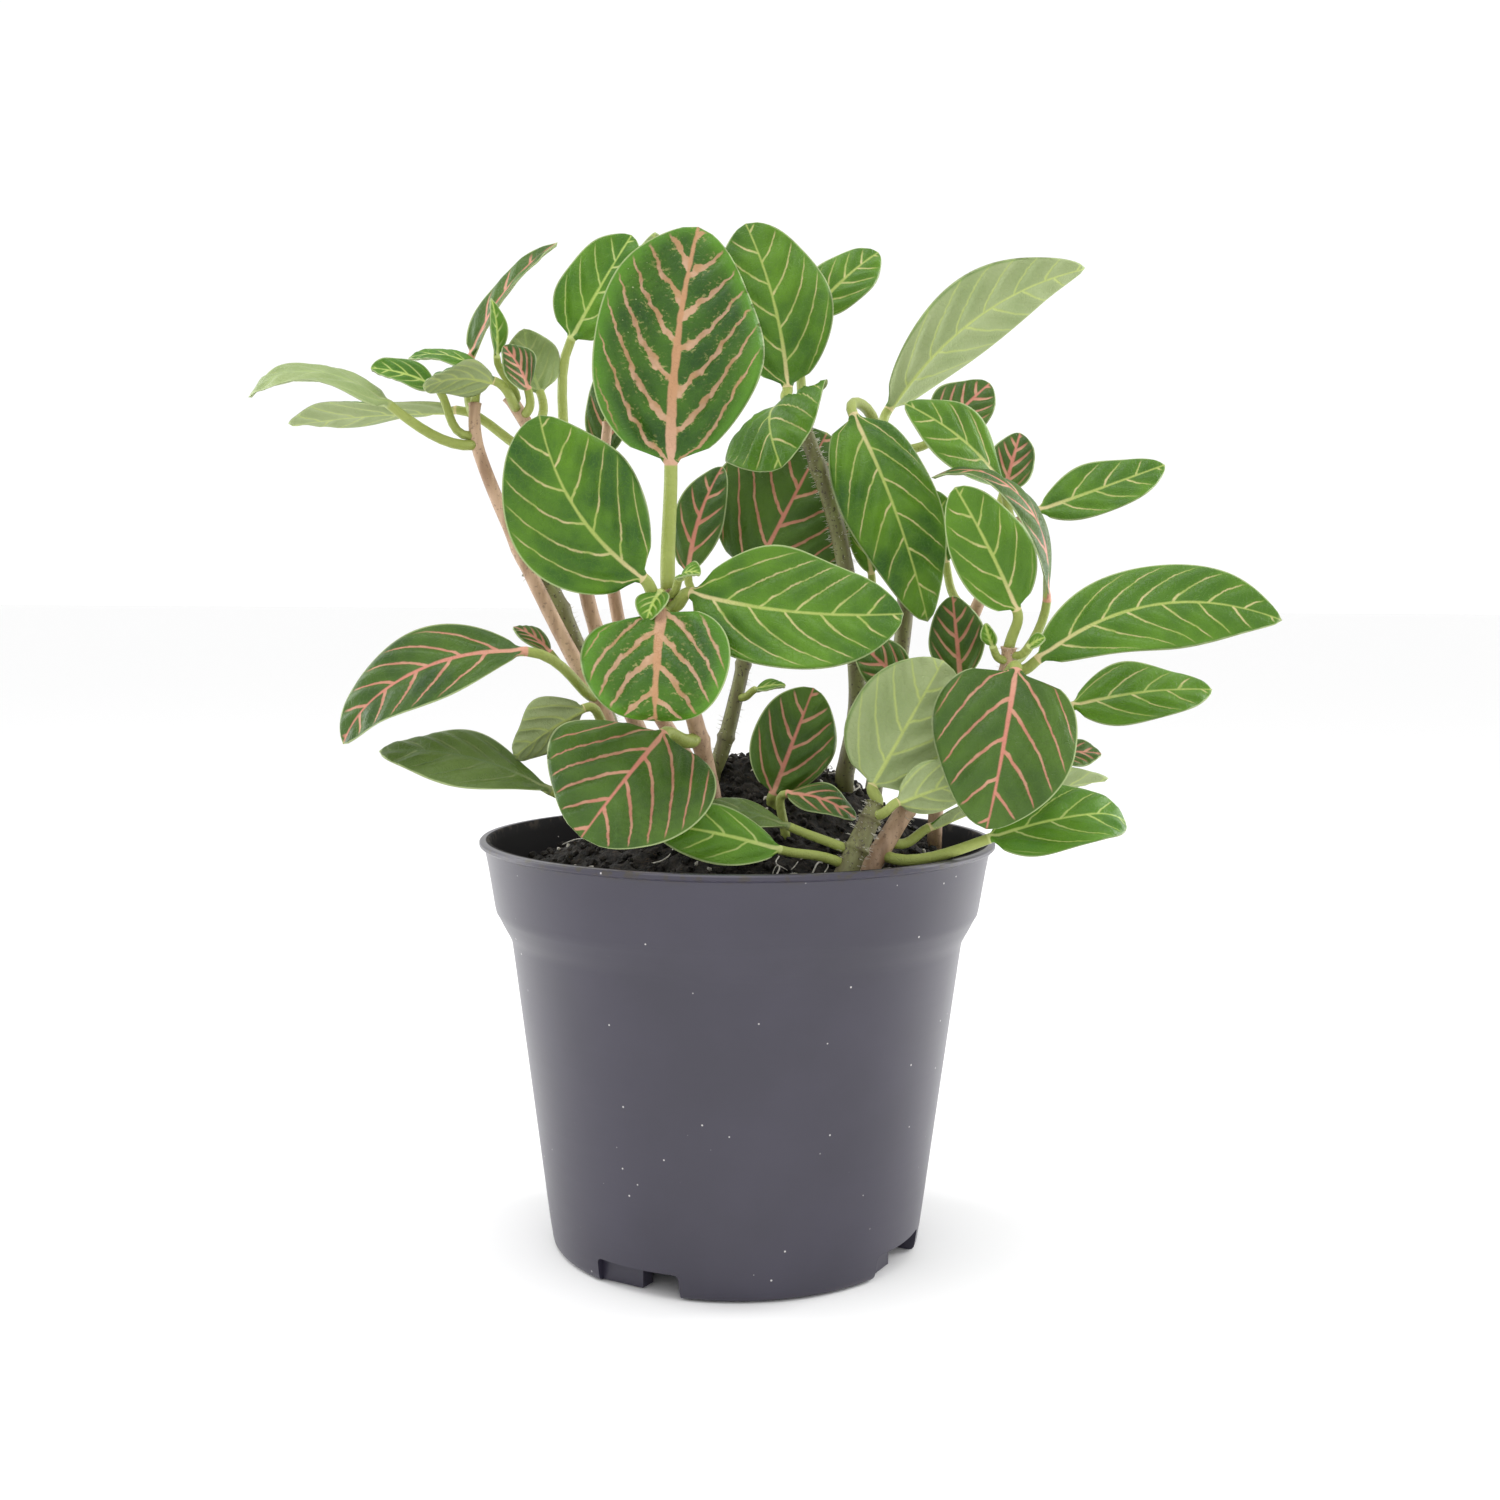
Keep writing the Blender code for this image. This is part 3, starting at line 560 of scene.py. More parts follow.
# %% [markdown]
# ## The line a leaf follows
# A stalk leaves its stem sideways, bends and runs into the midrib of the blade.  The
# line could be drawn point by point for each leaf, but it follows from the row: a
# cubic curve for the stalk and a shallow arch for the midrib.  Each place on the line
# has a centre, a heading and the way the upper face looks.


# %% Leaf line
def seat_on_soil(base):
    """Where a stalk leaves the peat: a little behind and below the blade."""
    x, y = base.x * 0.98, base.y + 3.0
    return Vector((x, y, soil_height(x, y) + GAP + 0.9))


STALK_ROWS, BLADE_ROWS = 9, 46


def bezier(points, t):
    """Point at t on a cubic curve through four control points."""
    s = 1 - t
    a, b, c, d = points
    return a * s ** 3 + b * 3 * s * s * t + c * 3 * s * t * t + d * t ** 3


def stalk_start(stem_name, height, base):
    """The way a stalk leaves and where it starts, just inside its stem or the peat."""
    if stem_name == "soil":
        return Vector((0, 0, 1)), seat_on_soil(base) - Vector((0, 0, 2.5))
    stem = stems[stem_name]
    if height == "top":
        return stem.axis(1.0), stem.centre(1.0) - stem.axis(1.0) * 0.8
    t = stem.at_height(height)
    out = base - stem.centre(t)
    leave = (out - stem.axis(t) * out.dot(stem.axis(t))).normalized()
    return leave, stem.centre(t) + leave * stem.radius(t) * 0.4


def leaf_line(row):
    """Centre, heading, face direction and place along, from the stalk to the tip."""
    stem_name, height, base, tip, _, face, arch, sway = row[1:9]
    base, tip, face = Vector(base), Vector(tip), Vector(face)
    along = (tip - base).normalized()
    face = (face - along * face.dot(along)).normalized()
    bow = face * arch + along.cross(face) * sway

    def midrib(t):
        """Point at t on the arched midrib."""
        return base.lerp(tip, t) + bow * (4 * t * (1 - t))

    leave, start = stalk_start(stem_name, height, base)
    rise = (midrib(0.02) - base).normalized()
    span = (base - start).length
    path = (start, start + leave * min(0.4 * span + 1, 7.0), base - rise * 0.35 * span, base)
    line = []
    for step in range(STALK_ROWS):
        t = max(0.0, (step - 0.9) / (STALK_ROWS - 0.9))
        heading = (bezier(path, t + 0.02) - bezier(path, max(0, t - 0.02))).normalized()
        line.append([bezier(path, t), heading, None, t - 1])
    for step in range(BLADE_ROWS + 1):
        t = step / BLADE_ROWS
        heading = (midrib(min(1, t + 0.01)) - midrib(max(0, t - 0.01))).normalized()
        line.append([midrib(t), heading, None, t])
    # the face is carried from the tip back to the stem, square to each heading
    for place in reversed(line):
        face = (face - place[1] * face.dot(place[1])).normalized()
        place[2] = face
    return line


print("rows along a leaf:", len(leaf_line(LEAVES["leaf_heart"])))

# %% [markdown]
# ## The relief of a blade
# A real blade isn't flat: it dips along each side vein, swells between them, waves at
# the margin and has a groove over the midrib with a ridge below.  A displacement
# modifier could press this in from a texture.  Formulas on the same vein count that
# the finish reads are used instead, so that the dips lie exactly under the veins.
# `t` runs along the blade from 0 to 1 and `u` across it from -1 to 1.

# %% Blade relief
# a side vein leaves the midrib at a slope and bends on towards the tip
VEIN_SWEEP, VEIN_BEND = 0.7, 0.95


def half_width(t, belly, fullness):
    """Share of the half width at t, 0 at the base and the tip."""
    return math.sin(math.pi * t ** belly) ** fullness if 0 < t < 1 else 0.0


def smooth(value):
    """0 below 0, 1 above 1 and an even ramp with soft ends between."""
    value = max(0.0, min(1.0, value))
    return value * value * (3 - 2 * value)


class Blade:
    """The measures of one leaf and the relief that follows from them."""

    def __init__(self, name, row):
        """Read the row; a random seed makes each leaf's waves its own."""
        self.width, self.lift, self.belly, self.fullness = row[5], row[9], row[10], row[11]
        self.length = (Vector(row[4]) - Vector(row[3])).length
        self.stalk = 0.75 + self.width * 0.018
        self.veins = max(4, min(7, round(self.length / 8.0)))
        self.slope = 0.5 * self.width / self.length
        self.seed = random.random() * 50
        self.wavy = 0.055 * self.width if self.width > 9 else 0.2
        self.curl = CURLED.get(name, 0)

    def half(self, t, u):
        """Distance from the midrib to the margin, a little uneven."""
        even = self.width / 2 * half_width(t, self.belly, self.fullness)
        return even * (1 + 0.03 * math.sin(9 * t + self.seed) * u)

    def out(self, lat):
        """Distance from the midrib as a share of the half width."""
        return abs(lat) / (self.width / 2)

    def vein_count(self, t, lat):
        """Side veins passed on the way from the base, whole on a vein."""
        out = self.out(lat)
        return self.veins * (t - self.slope * (VEIN_SWEEP * out + VEIN_BEND * out * out))

    def vein_pitch(self, lat):
        """Distance between side veins, square to them."""
        steepness = VEIN_SWEEP + 2 * VEIN_BEND * self.out(lat)
        return self.length / self.veins / math.hypot(1, steepness)

    def pucker(self, t, u, lat):
        """Dips along the side veins and swells between them."""
        stagger = VEIN_STAGGER if lat > 0 else 0
        dip = -0.032 * self.width * math.cos(math.tau * (self.vein_count(t, lat) + stagger))
        near_rib = smooth(abs(lat) / (0.18 * self.width + 0.01))
        return dip * (1 - abs(u) ** 3) * near_rib * smooth(t / 0.15)

    def wave(self, t, u):
        """Waves that grow towards the margin and stop before the tip."""
        ripple = self.wavy * abs(u) ** 2.5 * math.sin(7.5 * t + self.seed + 2 * u)
        return ripple * smooth(4 * (1 - t))

    def rib(self, t, lat, over):
        """Depth of the groove over the midrib and of the ridge under it."""
        ridge = 0.5 * self.stalk * (1 - 0.8 * t) * math.exp(-(lat / (0.9 * self.stalk)) ** 2)
        groove = 0.25 * math.exp(-(lat / 1.1) ** 2)
        return ridge * (1.3 if over < 0 else 0.2) + groove

    def roll(self, t):
        """How far the last third rolls under."""
        return -self.curl * max(0.0, (t - 0.7) / 0.3) ** 2

    def height(self, t, u, lat, over):
        """Height of the sheet; over is 1 on the upper face and -1 on the lower."""
        thick = 0.28 * math.sqrt(max(0.0, 1 - u ** 4)) + 0.03
        lifted = self.lift * self.half(t, u) * abs(u) ** 1.5
        ups = over * thick + lifted + self.pucker(t, u, lat) + self.wave(t, u)
        return ups + self.roll(t) - self.rib(t, lat, over)


# %% [markdown]
# ## Wrapping the sheet
# One flat grid is wrapped around the leaf's line: half its columns make the upper face
# and half the lower, the first rows make the round stalk and the last row closes to
# the tip.  Two sheets joined at the rim would do too, but a single wrapped grid has
# no rim to sew, and its doubles merge at the seam and at both ends.

# %% Leaf mesh
COLUMNS = 22
LEAF_NUMBERS = ("along", "lat", "edge", "phase", "pitch", "under", "tint")


def close_seams(bm, verts, dist):
    """Merge doubles and turn every face outwards."""
    bmesh.ops.remove_doubles(bm, verts=verts, dist=dist)
    bmesh.ops.recalc_face_normals(bm, faces=bm.faces)
    return bm


def leaf_mesh(name, row):
    """The closed sheet of one leaf, with the numbers its finish reads."""
    line = leaf_line(row)
    blade = Blade(name, row)
    rows = len(line) - 1
    bm = bmesh.new()
    bmesh.ops.create_grid(bm, x_segments=2 * COLUMNS, y_segments=rows, size=0.5)
    layers = [bm.verts.layers.float.new(key) for key in LEAF_NUMBERS]
    tint = random.random()
    for vert in bm.verts:
        column = round((vert.co.x + 0.5) * 2 * COLUMNS)
        number = round((vert.co.y + 0.5) * rows)
        centre, heading, face, t = line[number]
        over = 1 if column <= COLUMNS else -1
        step = column if over > 0 else 2 * COLUMNS - column
        u = -1 + 2 * step / COLUMNS
        half = blade.half(t, u)
        lat = u * half
        roll = blade.roll(t)
        # round stalk below the base, flat blade above it, a short change between
        flat = smooth(t / 0.07)
        around = math.pi * step / COLUMNS
        rod = 0.0 if number == 0 else blade.stalk * (1.15 - 0.15 * (1 + min(t, 0)))
        x = lat * flat - math.cos(around) * rod * (1 - flat)
        z = blade.height(t, u, lat, over) * flat + math.sin(around) * rod * over * (1 - flat)
        if t >= 1:
            x = 0.0
            z = roll
        vert.co = centre + heading.cross(face).normalized() * x + face * z + heading * roll * 0.4
        edge = (1 - abs(u)) * half + (1 - flat) * 3
        under = 1.0 if over < 0 and t > 0.02 else 0.0
        numbers = (t, lat, edge, blade.vein_count(t, lat), blade.vein_pitch(lat), under, tint)
        for layer, value in zip(layers, numbers):
            vert[layer] = value
    return close_seams(bm, bm.verts, 0.004)


# %% [markdown]
# ## Handing over a piece
# Every piece is finished the same way: it moves from the pot's axis to the frame's
# origin, shrinks from millimetres to metres and gets its finish.


# %% Finish a piece
def settle(name, bm):
    """A mesh in metres in the frame's place, from a bmesh in millimetres."""
    bmesh.ops.translate(bm, vec=(AXIS_X, 0.0, 0.0), verts=bm.verts)
    bmesh.ops.scale(bm, vec=(MM, MM, MM), verts=bm.verts)
    mesh = bpy.data.meshes.new(name)
    bm.to_mesh(mesh)
    bm.free()
    return mesh


def show(name, data):
    """A new object in the scene."""
    obj = bpy.data.objects.new(name, data)
    bpy.context.collection.objects.link(obj)
    return obj


def finish_piece(name, bm, mat, node, flat=False):
    """Make a piece that rides on the root body and may replace a CAD node."""
    mesh = settle(name, bm)
    mesh.materials.append(mat)
    if flat:
        mesh.shade_flat()
    else:
        mesh.shade_smooth()
    piece = show(name, mesh)
    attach(piece, "root")
    if node:
        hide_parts(node)
    return piece


# %% Build the leaves
leaf_faces = 0
for name, row in {**LEAVES, **SMALL_LEAVES}.items():
    look = leaf_looks[SPECIAL.get(name, row[0])]
    node = name if name in LEAVES else None
    piece = finish_piece("look_" + name, leaf_mesh(name, row), look, node)
    leaf_faces += len(piece.data.polygons)
print("leaf faces:", leaf_faces)

# %% [markdown]
# ## Stem finish
# Some stems are smooth and tan, others olive and speckled.  Both are streaked along
# their length, so noise is squeezed along Z, which follows upright stems well enough.


# %% Stem finishes
def stem_material(name, dark, light, speck, amount):
    """A streaked stem with specks; amount is how strong the specks are."""
    mat, tree, shader = start_material(name, 0.55)
    streak = noise_node(tree, 420.0, 4.0, (1, 1, 0.18))
    colour = mix(fade(streak, 0.3, 0.7), dark, light)
    spots = fade(noise_node(tree, 1300.0, 2.0), 0.6, 0.68)
    colour = mix(times(spots, amount), colour, speck)
    plug(shader.inputs["Base Color"], colour)
    bump(tree, shader, streak, 0.3, 0.0004)
    return mat


stem_looks = {
    "tan": stem_material("stem_tan_look", (0.29, 0.175, 0.10), (0.52, 0.35, 0.23),
                         (0.10, 0.06, 0.04), 0.5),
    "olive": stem_material("stem_olive_look", (0.10, 0.085, 0.035), (0.19, 0.20, 0.07),
                           (0.04, 0.03, 0.02), 0.9),
}
print("stem finishes:", ", ".join(stem_looks))

# %% [markdown]
# ## Stems
# A stem is a tube that swells where leaves were joined to it, and its foot goes down
# into the peat.  A bevelled curve can't swell at chosen places without a second
# curve, so a grid is wrapped round the stem's line and its girth follows a formula.

# %% Build the stems
JOINTS, JOINT_LENGTH, JOINT_SWELL = (0.35, 0.68, 0.985), 0.018, 0.22
FOOT_DEPTH = 4.0


def stem_mesh(stem, sides=20, rows=60):
    """A closed tube along a stem, a little uneven and swollen at its joints."""
    bm = bmesh.new()
    bmesh.ops.create_grid(bm, x_segments=sides, y_segments=rows, size=0.5)
    for vert in bm.verts:
        angle = math.tau * (vert.co.x + 0.5)
        row = round((vert.co.y + 0.5) * rows)
        t = row / rows
        centre, axis = stem.centre(t), stem.axis(t)
        if row <= 1:
            centre = stem.centre(0) - Vector((0, 0, FOOT_DEPTH - row))
        side = axis.cross(Vector((0, 1, 0))).normalized()
        joint = sum(math.exp(-((t - at) / JOINT_LENGTH) ** 2) for at in JOINTS)
        girth = stem.radius(t) * (1 + JOINT_SWELL * joint)
        girth *= 1 + 0.05 * noise.noise(centre * 0.25 + Vector((0, 0, angle)))
        if row in (0, rows):
            girth = 0.0
        vert.co = centre + girth * (math.cos(angle) * side + math.sin(angle) * side.cross(axis))
    return close_seams(bm, bm.verts, 0.004)


for name, stem in stems.items():
    finish_piece("look_" + name, stem_mesh(stem), stem_looks[stem.slot], name)
print("stems built:", len(stems))

# %% [markdown]
# ## Hairs
# The olive stems and the joints of the crown carry soft white hairs a millimetre or
# two long.  A hair system would vanish in the export, so each hair is a thin spike
# with three sides, and all of them together are one piece.

# %% Hairs
hair_look, tree, shader = start_material("hair_look", 0.6)
plug(shader.inputs["Base Color"],
     mix(noise_node(tree, 500.0), (0.55, 0.52, 0.42), (0.75, 0.73, 0.66)))
# stem, the stretch that is hairy and the number of hairs
HAIRY = (("stem_tall", 0.3, 1.0, 520), ("stem_cut", 0.2, 1.0, 260),
         ("stem_front", 0.2, 1.0, 180), ("stem_crown", 0.86, 1.0, 150),
         ("stem_right", 0.3, 1.0, 130), ("stem_middle", 0.2, 1.0, 80))


def hair(bm, root, way, length):
    """Add one spike."""
    turn = way.to_track_quat("Z", "Y").to_matrix().to_4x4()
    place = Matrix.Translation(root + way * length / 2) @ turn
    bmesh.ops.create_cone(bm, cap_ends=True, segments=3, radius1=0.07, radius2=0.02,
                          depth=length, matrix=place)


bm = bmesh.new()
for name, low, high, count in HAIRY:
    stem = stems[name]
    for _ in range(count):
        t = random.uniform(low, high)
        axis = stem.axis(t)
        out = Vector([random.gauss(0, 1) for _ in range(3)])
        out = (out - axis * out.dot(axis)).normalized()
        way = (out + axis * random.uniform(-0.3, 0.3)).normalized()
        hair(bm, stem.centre(t) + out * stem.radius(t) * 0.95, way, random.uniform(0.7, 1.7))
print("hair faces:", len(bm.faces))
finish_piece("look_hairs", bm, hair_look, None)

# %% [markdown]
# ## Pot finish
# The pot is satin violet-grey plastic with specks of white dust and dirt along the lip.
# Its inner wall is the same plastic, but the shade inside the pot is painted into its
# colour as near black.  Two finishes on two sets of faces would show a hard line, so one
# finish finds the inside from the distance to the pot's axis.  The wall leans outwards,
# so the radius that parts inside from outside grows with the height.

# %% Pot finish
WALL_LEAN = 0.168
LIP_Z = (0.0925, 0.0952)
pot_look, tree, shader = start_material("pot_look", 0.4)
haze = noise_node(tree, 45.0, 4.0)
colour = mix(fade(haze, 0.25, 0.8), (0.026, 0.023, 0.040), (0.035, 0.031, 0.052))
place = tree.nodes.new("ShaderNodeSeparateXYZ")
tree.links.new(own_place(tree), place.inputs[0])
across, deep, up = place.outputs
across = math_node("POWER", minus(across, AXIS_X * MM), 2.0)
radius = math_node("SQRT", plus(across, math_node("POWER", deep, 2.0)))
lean = minus(radius, times(up, WALL_LEAN))
# painted shade: the inner wall above the peat is coloured near black, and is made rougher and less
# shiny there
inside = times(fade(lean, 0.0426, 0.0423), fade(up, 0.084, 0.086))
colour = mix(inside, colour, (0.006, 0.0055, 0.006))
dust = fade(cells(tree, 260.0), 0.07, 0.045)
patches = fade(noise_node(tree, 90.0), 0.48, 0.56)
colour = mix(times(dust, patches), colour, (0.55, 0.53, 0.52))
smears = fade(noise_node(tree, 380.0, 5.0), 0.5, 0.62)
grime = times(fade(up, *LIP_Z), smears)
colour = mix(grime, colour, (0.035, 0.028, 0.022))
plug(shader.inputs["Base Color"], colour)
rough = plus(times(haze, 0.14), 0.28)
plug(shader.inputs["Roughness"], plus(rough, times(inside, 0.5)))
plug(shader.inputs["Specular IOR Level"], minus(0.6, times(inside, 0.42)))
bump(tree, shader, noise_node(tree, 30.0, 5.0, (1, 1, 14)), 0.12, 0.0004)
print("pot finish nodes:", len(tree.nodes))

# %% [markdown]
# ## The pot
# The real pot is blown over a mould: a flat lip, a straight band, a sloping step and a
# long taper.  Stacked cylinders would leave seams, so half its section is drawn once,
# out along the foot, up the outside, over the lip and down the inside, and spun.


# %% Spin the pot
def spun(outline, steps):
    """Spin an outline of (radius, height) pairs about Z."""
    bm = bmesh.new()
    verts = [bm.verts.new((r, 0.0, z)) for r, z in outline]
    edges = [bm.edges.new(pair) for pair in zip(verts, verts[1:])]
    bmesh.ops.spin(bm, geom=verts + edges, cent=(0, 0, 0), axis=(0, 0, 1),
                   angle=math.tau, steps=steps, use_merge=True)
    return close_seams(bm, bm.verts, 0.0005)


foot = [(0, FLOOR_Z), (20, FLOOR_Z), (FOOT_INNER_R, FLOOR_Z), (FOOT_INNER_R + 0.4, 0),
        (BASE_R - 1.2, 0), (BASE_R - 0.55, 0.25), (BASE_R - 0.1, 0.8), (BASE_R + 0.08, 1.6)]
taper = [(BASE_R + (FOLD_R - BASE_R) * z / FOLD_Z, z) for z in (6, 12, 24, 36, 48, 60, 69)]
step = [(FOLD_R - 0.15, FOLD_Z - 1.4), (FOLD_R + 0.1, FOLD_Z - 0.3),
        (FOLD_R + 0.7, FOLD_Z + 0.9), (FOLD_R + 1.9, FOLD_Z + 3.1),
        (BAND_R - 0.75, BAND_Z - 1.2), (BAND_R - 0.2, BAND_Z - 0.3)]
band = [(BAND_R + 0.05, BAND_Z + 0.8), (57.1, 84), (57.9, 89), (BAND_TOP_R - 0.1, 93.2)]
lip = [(BAND_TOP_R + 0.15, 93.7), (RIM_R - 0.35, 94.0), (RIM_R, 94.35), (RIM_R, 95.0),
       (RIM_R - 0.3, POT_HEIGHT - 0.05), (RIM_R - 0.7, POT_HEIGHT),
       (BAND_TOP_R - WALL + 0.3, POT_HEIGHT), (BAND_TOP_R - WALL, POT_HEIGHT - 0.3)]
inner = [(wall_inner_radius(z), z) for z in (93, 90, 86, BAND_Z + 0.6, BAND_Z - 0.6, 76,
                                            FOLD_Z + 0.6, FOLD_Z - 0.8, 50, 30, 9.5)]
inner += [(wall_inner_radius(FLOOR_Z) - 2.0, FLOOR_Z + WALL), (0, FLOOR_Z + WALL)]
pot = finish_piece("look_pot", spun(foot + taper + step + band + lip + inner, 160),
                   pot_look, "pot")
print("pot faces before the notches:", len(pot.data.polygons))

# %% [markdown]
# ## Notches in the foot
# Four notches let water run out from under the pot.  They could be pulled up from the
# outline's points, but the spin makes every section the same, so blocks with rounded
# tops are cut away by booleans, and the result is kept as the pot's own mesh.

# %% Cut the notches
NOTCH_HEIGHT, NOTCH_HALF_WIDTH = 5.6, 10.5
NOTCH_ANGLES = (-120, -30, 60, 150)
NOTCH_ROUNDING = 1.2


def notch_block(name, size, offset):
    """Four blocks with rounded tops, one to each notch, as one cutter."""
    bm = bmesh.new()
    for angle in NOTCH_ANGLES:
        place = Matrix.Rotation(math.radians(angle), 4, "Z") @ Matrix.Translation(offset)
        cube = bmesh.ops.create_cube(bm, size=1.0, matrix=place @ Matrix.Diagonal((*size, 1.0)))
        upper = {edge for vert in cube["verts"] for edge in vert.link_edges
                 if all(end.co.z > 2.0 for end in edge.verts)}
        bmesh.ops.bevel(bm, geom=list(upper), offset=NOTCH_ROUNDING, segments=3, profile=0.5,
                        affect="EDGES", material=-1)
    block = show(name, settle(name, bm))
    cut = pot.modifiers.new(name, "BOOLEAN")
    cut.operation = "DIFFERENCE"
    cut.solver = "EXACT"
    cut.object = block
    return block


block_height = NOTCH_HEIGHT + 2
block_z = NOTCH_HEIGHT / 2 - 1
blocks = [notch_block("notch", (9.0, 2 * NOTCH_HALF_WIDTH, block_height),
                      (BASE_R + 1.5, 0.0, block_z)),
          notch_block("gap", (16.0, NOTCH_HALF_WIDTH, block_height),
                      (BASE_R - 2.0, NOTCH_HALF_WIDTH / 2, block_z))]
cut_pot = pot.evaluated_get(bpy.context.evaluated_depsgraph_get())
cut_mesh = bpy.data.meshes.new_from_object(cut_pot)
pot.modifiers.clear()
pot.data = cut_mesh
for block in blocks:
    bpy.data.objects.remove(block, do_unlink=True)
cut_mesh.shade_smooth()
cut_mesh.set_sharp_from_angle(angle=math.radians(40))
print("pot faces:", len(cut_mesh.polygons))

# %% [markdown]
# ## Peat finish
# Peat is nearly black with brown fibres, and perlite and roots are off-white.  Strong
# bumps and fine noise do for both, because nobody sees a single grain's colour.

# %% Peat and perlite finishes
soil_look, tree, shader = start_material("soil_look", 0.9)
grain = noise_node(tree, 700.0, 6.0)
colour = mix(fade(grain, 0.35, 0.7), (0.003, 0.0026, 0.002), (0.020, 0.014, 0.010))
fibre = fade(noise_node(tree, 500.0, 4.0, (1, 6, 3)), 0.62, 0.7)
colour = mix(times(fibre, 0.5), colour, (0.11, 0.065, 0.035))
plug(shader.inputs["Base Color"], colour)
bump(tree, shader, grain, 0.9, 0.0015)
grain_look, tree, shader = start_material("perlite_look", 0.85)
plug(shader.inputs["Base Color"],
     mix(noise_node(tree, 900.0), (0.34, 0.31, 0.27), (0.68, 0.66, 0.61)))
bump(tree, shader, noise_node(tree, 1500.0), 0.6, 0.0005)
print("finishes:", soil_look.name, grain_look.name)

# %% [markdown]
# ## The peat
# Peat is a heap of lumps that meets the wall all round.  Sculpting it would need a
# stored shape, so a disc is spun with many rings and each point is raised to the
# height of the mound with some noise.  The surface lies a little under the crumbs.

# %% Peat mound
CRUMB_LAYER = 0.6


def rough_soil(x, y):
    """Height of the peat with its lumps."""
    here = Vector((x, y, 3.0))
    lumps = 1.6 * noise.fractal(here * 0.16, 0.6, 2.0, 4) + 0.9 * noise.noise(here * 0.6)
    return soil_height(x, y) + lumps


soil_r = wall_inner_radius(SOIL_EDGE_Z) - 0.05
rings = [(soil_r * (1 - k / 70), SOIL_EDGE_Z) for k in range(71)]
flank = [(0, FLOOR_Z + WALL + 0.1), (38, FLOOR_Z + WALL + 0.1)]
flank += [(wall_inner_radius(z) - 0.2, z) for z in (10, 40, FOLD_Z, BAND_Z)]
bm = spun(flank + rings, 180)
for vert in bm.verts:
    if vert.co.z > SOIL_EDGE_Z - 0.01:
        vert.co.z = rough_soil(vert.co.x, vert.co.y) - CRUMB_LAYER
print("peat faces:", len(bm.faces))
finish_piece("look_soil", bm, soil_look, "soil")

# %% [markdown]
# ## Crumbs and perlite
# Loose crumbs of peat and a few white grains of perlite lie on the mound.  There are
# many, so each is a round ball of twenty faces, squashed, turned and dented at random.


# %% Crumbs and perlite
def scatter(bm, count, small, large, proud):
    """Add grains between two sizes; proud is the share that stands above the peat."""
    for _ in range(count):
        radius = soil_r * 0.985 * math.sqrt(random.random())
        angle = random.uniform(0, math.tau)
        x, y = radius * math.cos(angle), radius * math.sin(angle)
        size = random.uniform(small, large)
        spot = Vector((x, y, rough_soil(x, y) - CRUMB_LAYER + size * proud))
        turn = Matrix.Rotation(random.uniform(0, math.tau), 4, (random.random(), 1, 0.4))
        squash = Matrix.Diagonal((1, random.uniform(0.5, 1), random.uniform(0.5, 0.9), 1))
        made = bmesh.ops.create_icosphere(bm, subdivisions=1, radius=size,
                                          matrix=Matrix.Translation(spot) @ turn @ squash)
        for vert in made["verts"]:
            vert.co += Vector([random.uniform(-0.18, 0.18) * size for _ in range(3)])


# name, finish, number, smallest, largest, share above the peat
for name, look, *grains in (("look_crumbs", soil_look, 1500, 0.35, 1.5, 0.35),
                            ("look_perlite", grain_look, 70, 0.3, 0.95, 0.6)):
    bm = bmesh.new()
    scatter(bm, *grains)
    print(name, "faces:", len(bm.faces))
    finish_piece(name, bm, look, None, flat=True)

# %% [markdown]
# ## Root threads
# Thin pale roots wander over the peat.  Each starts anywhere, turns a little at every
# step and stays within the pot.  A wrapped grid makes a tube that tapers to its ends.

# %% Root threads
ROOTS, ROOT_STEP, ROOT_REACH = 26, 3.2, 54


def thread(bm, points, radius):
    """Add a thin root through a few points, as a six-sided tube."""
    made = bmesh.ops.create_grid(bm, x_segments=6, y_segments=24, size=0.5)["verts"]
    for vert in made:
        turn = math.tau * (vert.co.x + 0.5)
        t = vert.co.y + 0.5
        centre = curve_point(points, t)
        ahead = curve_point(points, min(1, t + 0.02)) - curve_point(points, max(0, t - 0.02))
        side = ahead.cross(Vector((0.2, 0.3, 1))).normalized()
        up = side.cross(ahead.normalized())
        thin = 0.0 if t < 0.001 or t > 0.999 else radius
        vert.co = centre + thin * (math.cos(turn) * side + math.sin(turn) * up)
    bmesh.ops.remove_doubles(bm, verts=made, dist=0.003)


bm = bmesh.new()
for _ in range(ROOTS):
    x, y = random.uniform(-46, 40), random.uniform(-46, 20)
    if math.hypot(x, y) > 48:
        continue
    points = []
    heading = random.uniform(0, math.tau)
    for _ in range(5):
        points.append(Vector((x, y, rough_soil(x, y) + random.uniform(-0.6, 1.0))))
        heading += random.uniform(-0.9, 0.9)
        x += ROOT_STEP * math.cos(heading)
        y += ROOT_STEP * math.sin(heading)
        if math.hypot(x, y) > ROOT_REACH:
            x *= 0.9
            y *= 0.9
    thread(bm, points, random.uniform(0.09, 0.2))
bmesh.ops.recalc_face_normals(bm, faces=bm.faces)
print("root faces:", len(bm.faces))
finish_piece("look_roots", bm, grain_look, None)

# %% [markdown]
# ## Floor and surround
# A product is shown on a pale floor in front of white.  A curved backdrop would do,
# but a wide plain floor under a white world is simpler and has no bend to hide.

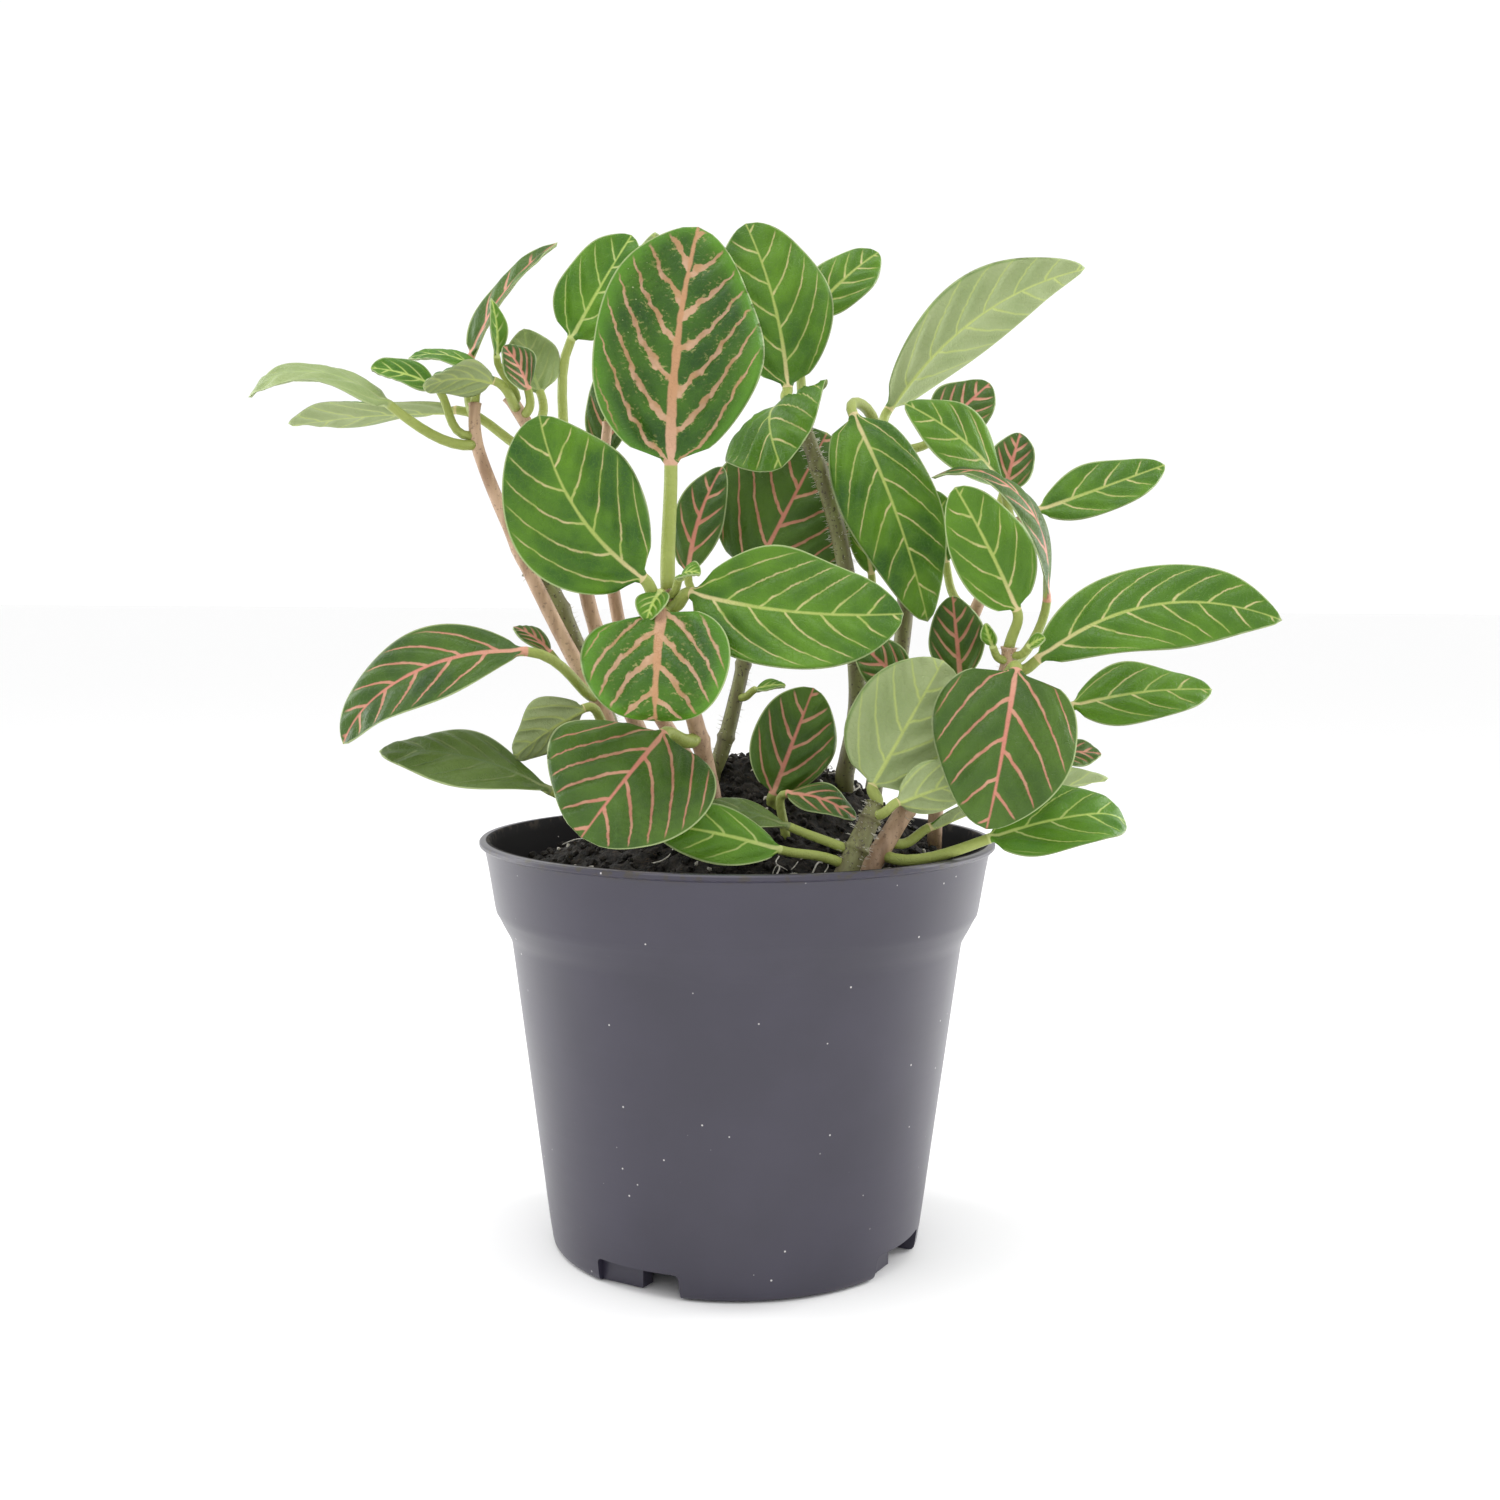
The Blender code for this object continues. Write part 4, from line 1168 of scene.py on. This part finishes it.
# %% Floor and surround
bm = bmesh.new()
bmesh.ops.create_grid(bm, x_segments=1, y_segments=1, size=40.0)
mesh = bpy.data.meshes.new("floor")
bm.to_mesh(mesh)
bm.free()
floor_look, tree, shader = start_material("floor_look", 0.9)
shader.inputs["Base Color"].default_value = (0.93, 0.93, 0.93, 1)
shader.inputs["Specular IOR Level"].default_value = 0.1
mesh.materials.append(floor_look)
floor = show("floor", mesh)
floor.location.z = -0.0003
world = bpy.data.worlds.new("surround")
bpy.context.scene.world = world
world.use_nodes = True
background = world.node_tree.nodes["Background"]
background.inputs["Color"].default_value = (1, 1, 1, 1)
background.inputs["Strength"].default_value = 1.05
print("floor across, in metres:", round(floor.dimensions.x))

# %% [markdown]
# ## Lamps
# The white surround lights everything evenly.  Broad soft lamps add shape to it: one
# above, one behind each side so that both edges of the pot shine, and one in front.


# %% Lamps
def lamp(name, place, target, width, height, power):
    """A soft rectangular lamp that faces a target."""
    data = bpy.data.lights.new(name, "AREA")
    data.shape = "RECTANGLE"
    data.size = width
    data.size_y = height
    data.energy = power
    obj = show(name, data)
    obj.location = place
    way = Vector(target) - Vector(place)
    obj.rotation_euler = way.to_track_quat("-Z", "Y").to_euler()


lamp("lamp_top", (-0.1, -0.15, 1.0), (0, 0, 0.1), 0.6, 0.6, 3.0)
lamp("lamp_left", (-0.8, 0.3, 0.3), (0, 0, 0.1), 0.4, 0.9, 5)
lamp("lamp_right", (0.8, 0.3, 0.3), (0, 0, 0.1), 0.4, 0.9, 6)
lamp("lamp_front", (0.1, -1.1, 0.7), (0, 0, 0.12), 0.6, 0.6, 0.8)
print("lamps:", len(bpy.data.lights))

# %% [markdown]
# ## Camera
# The camera stands close, about 40 cm from the pot, a little above the rim, and looks
# slightly down.  A longer lens from farther off would flatten the near leaves.

# %% Camera
CAMERA_DOWN, CAMERA_TURN, CAMERA_ROLL = 4.79, -0.39, 0.37
camera = show("camera", bpy.data.cameras.new("camera"))
camera.data.lens = 42.1
camera.data.sensor_width = 36.0
camera.location = (AXIS_X * MM, -0.409, 0.150)
camera.rotation_euler = (Matrix.Rotation(math.radians(CAMERA_TURN), 4, "Z")
                         @ Matrix.Rotation(math.radians(90 - CAMERA_DOWN), 4, "X")
                         @ Matrix.Rotation(math.radians(CAMERA_ROLL), 4, "Z")).to_euler()
bpy.context.scene.camera = camera
bpy.context.scene.view_settings.view_transform = "Standard"
print("camera at", tuple(camera.location))
